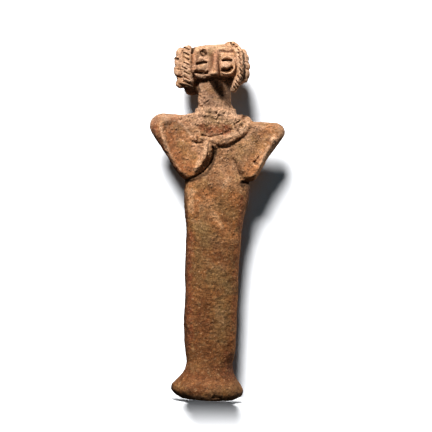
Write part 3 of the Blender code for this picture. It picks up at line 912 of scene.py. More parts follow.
@dataclass
class Hair:
    """Two bunches beside the face, each with a scored plait in front and a beaded lock outside."""

    strands: Sequence[Strand | Ball] = field(default_factory=lambda: (
        Plait(
            "left_plait",
            ((-15.6, -2, 172, 1.8, 1.6), (-16.2, -4.4, 170.6, 2.2, 2), (-16.2, -6.2, 167.4, 2.3, 2.2),
             (-16.3, -7.2, 163.6, 2.3, 2.3), (-16.3, -7.6, 160.4, 2.3, 2.3), (-15.6, -7.8, 157.4, 2.3, 2.3),
             (-14.8, -7.4, 154.8, 2.3, 2.2), (-14, -6.6, 152.6, 1.8, 1.8)),
            first=2.2, pitch=2.5, slope=-1.0, width=0.5, depth=0.16, reach=0.9,
        ),
        Beads(
            "left_beads",
            ((-18, 0, 171.4, 1.8, 1.8), (-19.7, -1.4, 169.6, 2.2, 2.2), (-20.5, -2.4, 166.4, 2.1, 2.3),
             (-20.4, -3, 162.6, 2.1, 2.3), (-20.2, -3.2, 159.6, 2.1, 2.3), (-19.4, -3.2, 156.6, 2, 2.1)),
            outward=(-0.5, -1, 0), first=5.9, pitch=4.7, depth=0.38,
        ),
        Ball("left_tail", (-18.6, -3.6, 154.2), (2.5, 2.8, 2.5), square=2.3, lean=10.0, seam=Seam.LAID_ON),
        Strand(
            "left_curl",
            ((-20.6, -4.6, 155.6, 0.8, 0.9), (-18, -6.6, 154.4, 1, 1.1), (-15.2, -7.8, 153.2, 1, 1.1),
             (-12.8, -7.2, 152.6, 0.7, 0.9)),
        ),
        Plait(
            "right_plait",
            ((1.8, -1.4, 173.7, 1, 0.9), (3.6, -2.4, 174, 1.5, 1.3), (5.8, -3.8, 173.6, 1.9, 1.7),
             (7.8, -5.8, 171.6, 1.9, 2), (8.9, -7.4, 168.8, 1.9, 2.2), (9.6, -8.6, 165.4, 1.8, 2.3),
             (9.9, -9.4, 162, 1.8, 2.3), (9.6, -9.8, 158.8, 1.8, 2.3), (8.6, -9.6, 155.8, 1.8, 2.1),
             (7.4, -8.9, 152.9, 1.6, 1.9), (6.3, -8, 150.7, 1.1, 1.4)),
            first=1.4, pitch=2.1, slope=-1.9, width=0.45, depth=0.2, middle=-0.35, reach=0.85,
        ),
        Beads(
            "right_beads",
            ((9.8, -2.4, 171.4, 1.7, 1.8), (11, -4.4, 169.9, 1.9, 2), (11.8, -5.6, 166.8, 2.1, 2.2),
             (12.2, -6.4, 163.4, 2.1, 2.3), (12.3, -6.8, 160, 2.1, 2.3), (12, -6.6, 157.4, 2, 2.1),
             (11.2, -5.8, 156, 1.6, 1.7)),
            outward=(0.5, -1, 0), first=3.0, pitch=4.0, depth=0.34,
        ),
    ))
    left_slashes: Pairs = (
        (-16.8, 171), (-16.7, 168.3), (-16.6, 166), (-16.3, 163.3), (-17.4, 161.3), (-15.9, 158.8),
        (-15.8, 156.3), (-14.4, 153.8),
    )
    left_slash: tuple[float, float] = (1.25, -0.56)
    right_slashes: Pairs = (
        (5.2, 173.9), (6.7, 173), (8.2, 172), (9, 170.5), (9.1, 168.8), (9.4, 166.9), (10.1, 164),
        (10, 161.2), (10.7, 158.8), (9.3, 157.5), (8.6, 155.3), (8.3, 153.6), (7.7, 152.2),
    )
    right_slash: tuple[float, float] = (0.6, -0.9)
    slash_width: float = 0.4
    slash_depth: float = 1.5

    def slashes(self) -> list[Mark]:
        """The plaits' cuts: each a short stroke of a blade, half of it to either side of its place."""
        rows = ((self.left_slashes, self.left_slash, -3.5), (self.right_slashes, self.right_slash, -2.0))
        return [
            cut(
                self.slash_width, self.slash_depth, (x - half[0], z - half[1]), (x + half[0], z + half[1]),
                nearer=nearer,
            )
            for places, half, nearer in rows
            for x, z in places
        ]

    def lumps(self) -> list[Lump]:
        """The bunches and the back are kneaded on, and the strands are laid over them."""
        return [
            Ball("left_bunch", (-16.8, 0.8, 162.2), (4.8, 6.2, 9.8), square=2.4).build(),
            Ball("left_bunch_foot", (-13.4, 1.4, 151.6), (3.6, 4, 2.8), square=2.3).build(),
            Ball("right_bunch", (9.2, -0.6, 163.2), (4.2, 7.4, 8.6), square=2.4).build(),
            BackHair("back_hair", (-4, 4.8, 162.6), (15.4, 7, 11), square=2.3, columns=320).build(),
            *(strand.build() for strand in self.strands),
        ]

    def marks(self) -> list[Mark]:
        """The groove beside the forehead, the left curl's hairs, the beads' pinches and the plaits' cuts."""
        return [
            cut(0.5, 1.3, (-12.4, 172), (-13.5, 171.8), (-13.9, 170.6), (-14.1, 168.6)),
            groove(0.32, 0.9, (-17.6, 154.6), (-15.4, 154.2), (-12.9, 153.4), nearer=-4),
            groove(0.32, 0.8, (-19.2, 153.4), (-16, 152.9), (-13, 152.2), nearer=-3),
            groove(0.4, 0.5, (-18.4, 158.6), (-18.3, 164), (-18.4, 170)),
            cut(0.45, 1.4, (-23, 166.3), (-20.7, 165.8), ragged=0.3),
            groove(0.35, 0.6, (-22.4, 160.9), (-19, 160.6), ragged=0.4),
            cut(0.5, 1.2, (-21.6, 157.7), (-18.8, 157), ragged=0.3),
            groove(0.35, 1, (10.9, 169.9), (12.4, 168.9), ragged=0.4),
            groove(0.35, 1, (12.3, 165.6), (14.4, 164.9), ragged=0.4),
            groove(0.35, 0.9, (12.9, 162.1), (14.6, 161.6), ragged=0.4),
            *self.slashes(),
        ]


# ---------------------------------------------------------------- fusing and weathering


@dataclass
class Surface:
    """A shared skin: points in millimetres and faces, with the work that needs its edges and normals."""

    points: Array
    faces: npt.NDArray[np.int64]

    def edges(self) -> npt.NDArray[np.int64]:
        """Each face's sides as (from, to) pairs; a side between two faces comes once in each direction."""
        return np.stack([self.faces, np.roll(self.faces, -1, axis=1)], -1).reshape(-1, 2)

    def spread(self, values: Array, rounds: int, share: Array | float = 0.5) -> Array:
        """Moves each row of values a share of the way to its neighbours' mean, a number of rounds over.

        Args:
            values: array (n, k).
            rounds: how many times.
            share: how far, one number or one for each point.

        Returns:
            The smoothed rows.
        """
        start, end = self.edges().T
        count = np.maximum(np.bincount(start, minlength=len(values)), 1)[:, None]
        part = np.broadcast_to(np.asarray(share, float), (len(values),))[:, None]
        now = values.copy()
        for _ in range(rounds):
            total = np.column_stack([np.bincount(start, column, len(now)) for column in now[end].T])
            now += part * (total / count - now)
        return now

    def normals(self) -> Array:
        """Unit normals: each point's sum of its faces' diagonal cross products."""
        corner = self.points[self.faces]
        last = corner[:, 3] if self.faces.shape[1] == 4 else corner[:, 0]
        cross = np.cross(corner[:, 2] - corner[:, 0], last - corner[:, 1])
        if self.faces.shape[1] == 3:
            cross = np.cross(corner[:, 1] - corner[:, 0], corner[:, 2] - corner[:, 0])
        count = len(self.points)
        total = np.column_stack(
            [sum(np.bincount(corners, part, count) for corners in self.faces.T) for part in cross.T]
        )
        return total / np.maximum(np.linalg.norm(total, axis=1), 1e-12)[:, None]

    def in_one(self) -> "Surface":
        """The largest connected skin, without the loose crumbs and closed bubbles that fusing leaves.

        Each point starts with its own number and takes the lowest number that it can reach along the edges.

        Returns:
            The skin alone.
        """
        start, end = self.edges().T
        lowest, before = np.arange(len(self.points)), None
        while before is None or not np.array_equal(lowest, before):
            before, lowest = lowest, lowest.copy()
            np.minimum.at(lowest, before[start], before[end])
            lowest = lowest[lowest]
        kept = lowest == np.bincount(lowest).argmax()
        return Surface(self.points[kept], (np.cumsum(kept) - 1)[self.faces[kept[self.faces[:, 0]]]])

    def standing_out(self, rounds: int) -> Array:
        """How far each point stands out from its smoothed surroundings along its normal, in millimetres."""
        return np.einsum("ij,ij->i", self.points - self.spread(self.points, rounds), self.normals())

    def mesh(self, name: str) -> bpy.types.Mesh:
        """A Blender mesh of these points, in metres, with the sole at zero."""
        mesh = bpy.data.meshes.new(name)
        mesh.vertices.add(len(self.points))
        placed = (self.points - np.array([0.0, 0.0, SOLE])) * MM
        mesh.vertices.foreach_set("co", placed.ravel())
        corners = self.faces.shape[1]
        mesh.loops.add(self.faces.size)
        mesh.loops.foreach_set("vertex_index", self.faces.ravel())
        mesh.polygons.add(len(self.faces))
        mesh.polygons.foreach_set("loop_start", np.arange(0, self.faces.size, corners))
        mesh.update(calc_edges=True)
        return mesh


def read_surface(mesh: bpy.types.Mesh, corners: int) -> Surface:
    """The surface of a mesh whose faces all have the same number of corners."""
    points = np.empty(len(mesh.vertices) * 3, np.float32)
    mesh.vertices.foreach_get("co", points)
    faces = np.empty(len(mesh.loops), np.int32)
    mesh.loops.foreach_get("vertex_index", faces)
    placed = points.reshape(-1, 3).astype(float) / MM + np.array([0.0, 0.0, SOLE])
    return Surface(placed, faces.reshape(-1, corners).astype(np.int64))


def with_modifier(surface: Surface, kind: str, corners: int, **settings: float | str) -> Surface:
    """The surface after one Blender modifier.

    Args:
        surface: what to change.
        kind: the modifier's type.
        corners: corners of each face afterwards.
        **settings: the modifier's values.

    Returns:
        The changed surface.
    """
    work = bpy.data.objects.new("work", surface.mesh("work"))
    bpy.context.scene.collection.objects.link(work)
    modifier = work.modifiers.new(kind.title(), kind)
    for key, value in settings.items():
        setattr(modifier, key, value)
    ready = work.evaluated_get(bpy.context.evaluated_depsgraph_get())
    result = read_surface(ready.to_mesh(), corners)
    ready.to_mesh_clear()
    mesh = work.data
    bpy.data.objects.remove(work)
    bpy.data.meshes.remove(mesh)
    return result


def halved(faces: npt.NDArray[np.int64]) -> npt.NDArray[np.int64]:
    """Each four-cornered face as two triangles."""
    return np.vstack([faces[:, [0, 1, 2]], faces[:, [0, 2, 3]]])


def fuse(lumps: Iterable[Lump], cell: float) -> Surface:
    """One closed skin round all lumps, on a lattice of cells of the given size in millimetres."""
    points, triangles, start = [], [], 0
    for lump in lumps:
        points.append(lump.points)
        triangles.append(lump.triangles + start)
        start += len(lump.points)
    heap = Surface(np.vstack(points), np.vstack(triangles))
    return with_modifier(heap, "REMESH", 4, mode="VOXEL", voxel_size=cell * MM)


@dataclass
class Weather:
    """What hands and years did to the surface, as depths in millimetres."""

    hand: float = 0.28
    lumpy: float = 0.13
    gritty: float = 0.11
    pitted: float = 0.26
    face_share: float = 0.5

    def move(self, points: Array, normals: Array) -> Array:
        """How far each point moves along its normal.

        Slow noise is the hand's, faster noise the clay's own lumps and grit, and scattered spots are pits.
        The face keeps only a share of it, and the neck and the collar get more lumps and grit.

        Args:
            points: array (n, 3).
            normals: array (n, 3).

        Returns:
            Array (n,).
        """
        height = points[:, 2]
        face = ease(height, 149.0, 155.0) * ease(np.abs(points[:, 0] + 3.0), 11.5, 9.5)
        calm = 1 - (1 - self.face_share) * face
        rough = 1 + 0.7 * bell(height - 140.0, 6.0) * ease(np.abs(points[:, 0]), 17.0, 12.0)
        slow = self.hand * noise(points, 13.0, 3, layers=2)
        lumps = self.lumpy * noise(points, 3.4, 11, layers=2) * rough
        grit = self.gritty * noise(points, 1.0, 23, layers=2) * rough
        large, small = spots(points, 3.1, 0.16, 41) ** 0.7, spots(points, 1.5, 0.14, 47) ** 0.7
        pits = self.pitted * (large + 0.6 * small)
        return calm * (slow + lumps + grit) - pits * (0.6 + 0.4 * calm)


@dataclass(frozen=True)
class Stain:
    """A soft-edged patch of one tone: its half width, its strength and its line in the front view."""

    width: float
    much: float
    line: Pairs


def stains(*rows: tuple) -> tuple[Stain, ...]:
    """Stains from rows of a half width, a strength and then the corners of a line."""
    return tuple(Stain(width, much, line) for width, much, *line in rows)


TONES = ("orange", "grey", "red", "rubbed", "soil_and_shade")


@dataclass
class Patina:
    """Where each tone of the fired clay lies on the front; the back has only the finish's own mottling."""

    orange: Sequence[Stain] = stains(
        # left arm
        (1.5, 1, (-15, 109.4), (-12.4, 110)), (7, 0.65, (-21, 131), (-14, 116)),
        (3.2, 0.7, (-27, 132), (-18, 111)),
        # right arm
        (2.4, 0.6, (22, 131), (27, 133)), (4, 0.45, (22, 125), (17, 111)),
        # pillar
        (1.1, 0.8, (-11.6, 76.6), (-11, 73.6), (-9.6, 72)), (2.3, 0.9, (-11.6, 103), (-11, 93)),
        (2, 0.7, (-8, 99.5), (-6.4, 93)), (2.8, 1, (1, 89), (5.2, 85)), (1.6, 0.85, (-11, 78), (-10.4, 70)),
        (1.6, 0.75, (-11, 60), (-10.8, 52)), (2, 0.7, (-10.4, 45), (-9.4, 30)),
        (2.6, 0.7, (10, 101), (12.4, 92), (11, 80)), (2.6, 0.5, (-3, 70), (3, 66)),
        # the pillar's right edge: real orange, strengthened as painted light on the side the key leaves dim
        (1.9, 0.9, (14.6, 98), (12.8, 84), (12, 26)), (2.6, 0.5, (15.2, 98), (14.6, 82)),
        (4, 0.55, (-8, 103), (10, 98)),
        # foot
        (3.4, 0.3, (-7, 12), (2, 9)),
    )
    grey: Sequence[Stain] = stains(
        # face
        (0.9, 0.9, (-5.2, 171), (-4.8, 168.4)),
        # chest and collar
        (2.8, 0.5, (-3.4, 138), (5.2, 135)),
        # left arm
        (3.2, 0.4, (-17, 124), (-12, 119)),
        # right arm
        (3.6, 0.45, (11, 121), (19, 126)),
        # pillar
        (3.8, 0.9, (-6, 84.5), (-1.4, 77)), (3.6, 0.4, (3.6, 97), (8.4, 91.6)),
        (4.2, 0.85, (1.6, 62), (8.4, 56)), (2.4, 0.7, (5.2, 48), (6.2, 30)), (2.4, 0.4, (-9, 66), (-5, 58)),
        (2, 0.6, (-7.4, 73), (-5, 66)), (3.6, 0.5, (8, 45), (5.6, 35)), (2.2, 0.5, (-9, 104), (-4, 106)),
        # foot
        (2.8, 0.6, (8.4, 6.4), (13.4, 7.4)),
    )
    red: Sequence[Stain] = stains(
        # face
        (0.6, 0.5, (-0.5, 170.2), (5.5, 170.4)), (0.5, 0.25, (-0.1, 168), (0.2, 162)),
        (1.3, 0.5, (-3.6, 168), (-4.2, 160.4)), (1.9, 0.85, (-2.6, 168), (-2.4, 160)),
        (1.1, 0.5, (-13.4, 168), (-12.6, 160)),
        # neck
        (3, 0.22, (-8.4, 148), (-3, 146.4)),
        # chest and collar
        (1.9, 1, (-7.4, 132.6), (-3.4, 132.2)), (2.3, 1, (-1.4, 131.8), (4.4, 132.8)),
        # left arm
        (1.3, 1, (-31, 131.4), (-27.4, 124), (-20.6, 113.8), (-15.4, 108)),
        (1.4, 0.6, (-29.4, 136.6), (-31.4, 132.4)),
        (2.4, 0.35, (-22.6, 128.4), (-18.6, 117), (-14.4, 113.4)), (1.1, 0.6, (-21.8, 136.4), (-19.4, 136)),
        # pillar
        (0.9, 0.8, (-13.9, 93), (-13.1, 85)), (1.2, 0.9, (13.4, 100), (13.6, 96), (13, 84)),
        (1, 0.8, (16.4, 103), (15.2, 95), (13.8, 86)), (2.3, 1, (-11.8, 80), (-11.2, 52), (-10.2, 26)),
        (3.2, 0.5, (1, 76), (7, 68)), (3.2, 0.5, (-6, 47), (-2, 35)), (9, 0.15, (0, 75), (0, 56)),
        (9, 0.25, (0, 30), (0, 20)), (1.2, 0.45, (11.4, 76), (11.8, 40)), (2, 0.4, (-8.4, 47), (-6, 26)),
        # foot
        (6, 0.5, (-10, 13), (10, 10)), (1.8, 0.8, (9.4, 24), (12, 14)),
    )
    rubbed: Sequence[Stain] = stains(
        # hair
        (1.3, 0.5, (-11, 172.4), (7.6, 172.8)),
        # face
        (1.6, 0.35, (-11, 170.6), (-1, 171)), (0.45, 0.25, (-2.6, 167), (-2.4, 162)),
        (0.6, 0.6, (-10.6, 158.4), (-6.4, 158.3)),
        # chest and collar
        (0.9, 0.45, (5.3, 106.1), (9.1, 108.2)), (1.1, 0.4, (-6.8, 111.2), (-4.4, 108.8)),
        (1.1, 0.9, (-9.2, 112.6), (-7.2, 117), (-5.4, 121), (-4.9, 125)),
        (0.45, 0.8, (5.2, 104.6), (8.2, 109.6)),
        (1.4, 0.6, (-11, 141.6), (-4, 140.6), (4, 140.8), (9.4, 140.4)),
        # left arm
        (0.8, 0.6, (-27.2, 133), (-26, 127), (-23.6, 120.4), (-20.6, 114.6)),
        (1.1, 0.8, (-26, 127.4), (-24, 121.4)), (0.8, 0.3, (-29.6, 134.6), (-27, 137), (-22, 138)),
        (0.8, 0.7, (-19, 135.4), (-15, 131.6), (-12.4, 128.6)),
        # right arm
        (0.9, 0.8, (25.6, 124.6), (23.6, 120.6), (21.6, 115.6)), (1.1, 1, (26.9, 128.6), (27.3, 128)),
        (1.1, 0.75, (14.4, 138), (14.6, 136), (13.2, 133.4), (10, 130.8), (6, 129.2)),
        # pillar
        # the second stain, on the pillar's upper left edge, is wear and also a painted highlight
        (0.45, 0.9, (3.4, 104), (6.4, 109.4)), (1.9, 1, (-12.2, 101), (-11.4, 93)),
        (1, 0.7, (-9.8, 87.6), (-6.4, 86.4)), (6, 0.2, (-4, 91), (8, 79)),
        (1.8, 0.25, (14.8, 98), (13.6, 82)), (1.5, 0.85, (-0.6, 91), (2.4, 88.4), (4.6, 84.8)),
        (1.4, 0.5, (-8, 97), (-5, 93)), (1.2, 0.45, (8, 80), (11.4, 78)), (1.6, 0.3, (0, 66.4), (7.4, 66)),
        (1.6, 0.3, (3, 47), (7, 38)),
        # foot
        (2.6, 0.15, (-8, 8.6), (6, 8.4)), (0.5, 1, (5.4, 13.5), (5.7, 13)),
        (0.45, 1, (-5.2, 6.4), (-4.8, 6.2)), (0.5, 1, (3.6, 3.6), (4.6, 3.2), (7.6, 3.9)),
    )
    # Dark patches: a little of them is dirt, but most are painted shade and painted shadow where the lamps
    # leave the clay dark.
    soil_and_shade: Sequence[Stain] = stains(
        # hair: painted shade under the left bunch, beside the right plait, in the brow groove and between the
        # beads
        (2, 1, (-17, 151.8), (-11.6, 150.2)), (0.6, 0.8, (11, 168.6), (11.5, 160), (10.2, 155.8)),
        (5, 0.12, (-19, 170), (-19, 156)), (0.5, 1, (-13.2, 171.6), (-14, 168.8)),
        (0.6, 0.85, (-22.8, 166.3), (-20.9, 165.9)), (0.7, 0.9, (-22.2, 157.6), (-19, 157)),
        (0.4, 0.6, (-20.6, 161), (-18.6, 160.6)),
        # face: painted shade in the eye slits and the stamped ring, on the left pellet and over the nose and
        # its sides
        (0.9, 0.35, (-1.5, 167), (-1.3, 160)), (0.8, 0.6, (-4.4, 168.5), (-4.4, 164), (-5.2, 160)),
        (0.7, 0.45, (-0.8, 168.6), (-0.5, 161)), (0.75, 0.95, (-11.6, 160.3), (-6, 160.2)),
        (1.1, 0.3, (-10.6, 162.2), (-6.4, 162.4)), (1.7, 0.2, (-2.7, 167.4), (-2.4, 161)),
        (0.55, 0.9, (-11.4, 164.2), (-7, 164.9)), (0.75, 0.95, (1.2, 161.7), (3, 161.2), (4.8, 161.9)),
        (0.5, 0.85, (1.2, 166.2), (5.2, 166.2)), (0.42, 0.8, *circle(-8.5, 169.2, 1.3)),
        # neck: painted shadow under the chin and cast by the nose, painted shade on the right, and the left
        # darker
        (1, 1, (-11, 155.6), (-6, 155.8), (-2, 157.4), (6.2, 157)), (1.6, 0.6, (3.2, 155.6), (4.4, 149.4)),
        (2.2, 0.8, (4.2, 156), (3.8, 150), (4.2, 145)), (5, 0.4, (-8.6, 155), (-2.6, 149), (-4, 144)),
        (1.3, 0.95, (-1.8, 155), (0, 152), (1.7, 147.4)),
        # chest: painted shade in the crevice under the left arm's tip and beside its forearm
        (0.9, 1, (-15.6, 106.8), (-11, 107), (-4.4, 110.6), (-1.2, 116.4), (-0.9, 122.8)),
        # left arm: painted shade along the outer edge, and the outer half and the top a little darker
        (0.7, 0.6, (-31.6, 130.6), (-28, 124), (-21.2, 113.8), (-17, 108.6)),
        (9, 0.19, (-32, 136), (-24, 128), (-18, 114)), (3.4, 0.27, (-27, 135.2), (-16, 134.4)),
        # right arm: painted shade along the outer edge
        (0.6, 0.6, (31.4, 130), (26, 119.6), (20.4, 108.8)),
        # pillar: painted shade under the right elbow and along both edges where the sides turn away; broad
        # darker bands
        (1.8, 0.14, (-12.6, 72), (-10.8, 40)), (1.5, 1, (13, 106.6), (19, 106.6)),
        (0.5, 0.8, (-14.6, 104), (-14.6, 96), (-13.6, 84), (-13.2, 60), (-12.2, 34)),
        (0.6, 0.95, (17.2, 104), (16, 94.6), (14.6, 84), (14.1, 60), (13.9, 30)),
        (2, 0.35, (-13, 24), (-11, 21)), (2, 0.4, (13, 24), (12, 18)), (7, 0.24, (-8, 71), (10, 70)),
        (12, 0.08, (-8, 40), (10, 30)), (1.2, 0.7, (-14.4, 100), (-13, 80), (-12.2, 40), (-11, 24)),
        # foot: painted shadow under the rim, and the ankle darker
        (1.4, 1, (-17.9, 7), (-16.6, 3.8), (-12, 2.4), (-4, 1.9), (8, 1.6), (15, 2.2), (18.5, 4.8)),
        (10, 0.25, (-10, 17), (12, 16)),
    )

    def tones(self, surface: Surface) -> dict[str, Array]:
        """Each tone at each point: the strongest of its stains, with wandering edges, on the front."""
        x, _, z = surface.points.T
        wander = 0.45 * noise(surface.points, 5.0, 91, layers=3)
        wander += 0.35 * noise(surface.points, 1.6, 97, layers=2)
        front = ease(-surface.normals()[:, 1], -0.45, -0.05)
        tones = {}
        for name in TONES:
            total = np.zeros(len(x))
            for stain in getattr(self, name):
                away = line_distance(x, z, stain.line) / stain.width + wander
                total = np.maximum(total, stain.much * ease(away, 1.5, 0.5))
            tones[name] = total * front
        return tones


@dataclass
class Figure:
    """The whole figure: lumps fused in two rounds, marked, weathered, thinned and stood on its sole."""

    body: Body = field(default_factory=Body)
    arms: Arms = field(default_factory=Arms)
    neckwear: Neckwear = field(default_factory=Neckwear)
    head: Head = field(default_factory=Head)
    hair: Hair = field(default_factory=Hair)
    weather: Weather = field(default_factory=Weather)
    patina: Patina = field(default_factory=Patina)
    rough_cell: float = 0.42
    fine_cell: float = 0.25
    kneading: int = 11
    triangles: int = 190_000

    def parts(self) -> list[Body | Arms | Neckwear | Head | Hair]:
        """The sub-assemblies in the order the maker works."""
        return [self.body, self.arms, self.neckwear, self.head, self.hair]

    def shape(self) -> Surface:
        """Kneads the soft lumps together, lays the crisp ones on, and presses the marks in."""
        lumps = []
        for part in self.parts():
            made = part.lumps()
            LOG.info("%s: %d lumps", type(part).__name__, len(made))
            lumps += made
        core = fuse((lump for lump in lumps if lump.seam is Seam.KNEADED), self.rough_cell)
        core.points = core.spread(core.points, self.kneading)
        laid_on = [lump for lump in lumps if lump.seam is Seam.LAID_ON]
        whole = fuse([Lump("core", core.points, halved(core.faces)), *laid_on], self.fine_cell)
        whole.points = whole.spread(whole.points, 2)
        LOG.info("fused: %d points", len(whole.points))
        normals = whole.normals()
        for part in self.parts():
            for mark in part.marks():
                whole.points[:, 1] += mark.press(whole.points, normals)
        whole.points = whole.spread(whole.points, 1)
        return whole

    def finished(self) -> Surface:
        """The weathered skin, with its sole pressed flat and its faces thinned to the budget."""
        whole = self.shape()
        normals = whole.normals()
        whole.points += normals * self.weather.move(whole.points, normals)[:, None]
        whole.points[:, 2] = np.maximum(whole.points[:, 2], SOLE)
        whole.faces = halved(whole.faces)
        share = min(1.0, self.triangles / len(whole.faces))
        return with_modifier(whole, "DECIMATE", 3, ratio=share).in_one()

    def tones(self, surface: Surface) -> dict[str, Array]:
        """Values that the finish reads at each point, each from 0 to 1.

        Besides the stains, what stands out is rubbed, and what lies deep is darkened with dirt and painted
        shade. `high` rises up the figure.
        """
        fine = surface.standing_out(3)
        broad = surface.standing_out(26)
        wobble = noise(surface.points, 6.0, 71, layers=3)
        edges = 0.5 * ease(fine, 0.01, 0.09) + 0.45 * ease(broad, 0.15, 0.9)
        # deep places turn dark, partly as dirt and partly as painted shade where the lamps would leave them
        # dim
        hollow_dirt_and_shade = 0.6 * ease(-fine, 0.01, 0.10) + 0.6 * ease(-broad, 0.12, 0.8)
        tones = self.patina.tones(surface)
        tones["rubbed"] = np.maximum(tones["rubbed"], edges)
        tones["soil_and_shade"] = np.maximum(tones["soil_and_shade"], hollow_dirt_and_shade)
        tones["high"] = ease(surface.points[:, 2] + 6 * wobble, 82.0, 152.0)
        return tones

    def build(self, finish: "ClayFinish") -> bpy.types.Object:
        """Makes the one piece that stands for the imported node, dresses it and rides it on the root body."""
        surface = self.finished()
        mesh = surface.mesh("terracotta_figure")
        mesh.shade_smooth()
        for name, values in self.tones(surface).items():
            layer = mesh.attributes.new(name, "FLOAT", "POINT")
            layer.data.foreach_set("value", np.clip(values, 0, 1).astype(np.float32))
        mesh.materials.append(finish.material())
        piece = bpy.data.objects.new("terracotta_figure", mesh)
        show(piece, Lit.FIGURE)
        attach(piece, "root")
        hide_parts(NODE)
        LOG.info("%s: %d triangles", piece.name, len(mesh.polygons))
        return piece


# ---------------------------------------------------------------- finishes

Colour = tuple[float, float, float, float]


class Bench:
    """Sets out and joins the nodes of one shader tree."""

    def __init__(self, tree: bpy.types.NodeTree) -> None:
        """Takes the tree to work in."""
        self.tree = tree

    def node(self, kind: str, inputs: dict | None = None, **settings: object) -> bpy.types.Node:
        """Adds a node; an input is a socket to join to it or a plain value.

        Args:
            kind: the node's type.
            inputs: socket name or place to value or socket.
            **settings: the node's own properties.

        Returns:
            The node.
        """
        made = self.tree.nodes.new(kind)
        made.location = (190.0 * (len(self.tree.nodes) % 12), -240.0 * (len(self.tree.nodes) // 12))
        for key, value in settings.items():
            setattr(made, key, value)
        for key, value in (inputs or {}).items():
            if isinstance(value, bpy.types.NodeSocket):
                self.tree.links.new(value, made.inputs[key])
            else:
                made.inputs[key].default_value = value
        return made

    def noise(self, where: bpy.types.NodeSocket, size_mm: float, detail: float = 3.0, rough: float = 0.55,
              bend: float = 0.0) -> bpy.types.NodeSocket:
        """Noise whose largest features are about size_mm across."""
        return self.node(
            "ShaderNodeTexNoise",
            {"Vector": where, "Scale": 1.0 / (size_mm * MM), "Detail": detail, "Roughness": rough,
             "Distortion": bend},
        ).outputs["Fac"]

    def span(self, value: bpy.types.NodeSocket, low: float, high: float, to_low: float = 0.0,
             to_high: float = 1.0) -> bpy.types.NodeSocket:
        """The value from low to high carried to to_low and to_high, easing at both ends."""
        return self.node(
            "ShaderNodeMapRange",
            {"Value": value, "From Min": low, "From Max": high, "To Min": to_low, "To Max": to_high},
            interpolation_type="SMOOTHSTEP",
        ).outputs["Result"]

    def times(self, a: object, b: object) -> bpy.types.NodeSocket:
        """The product of two values."""
        return self.node("ShaderNodeMath", {0: a, 1: b}, operation="MULTIPLY").outputs[0]

    def mix(self, share: object, a: object, b: object, blend: str = "MIX") -> bpy.types.NodeSocket:
        """Colour a turned into colour b by a share."""
        inputs = {0: share, 6: a, 7: b}
        return self.node("ShaderNodeMix", inputs, data_type="RGBA", blend_type=blend).outputs[2]

    def value(self, name: str) -> bpy.types.NodeSocket:
        """A value kept on the piece's points."""
        return self.node("ShaderNodeAttribute", attribute_name=name).outputs["Fac"]


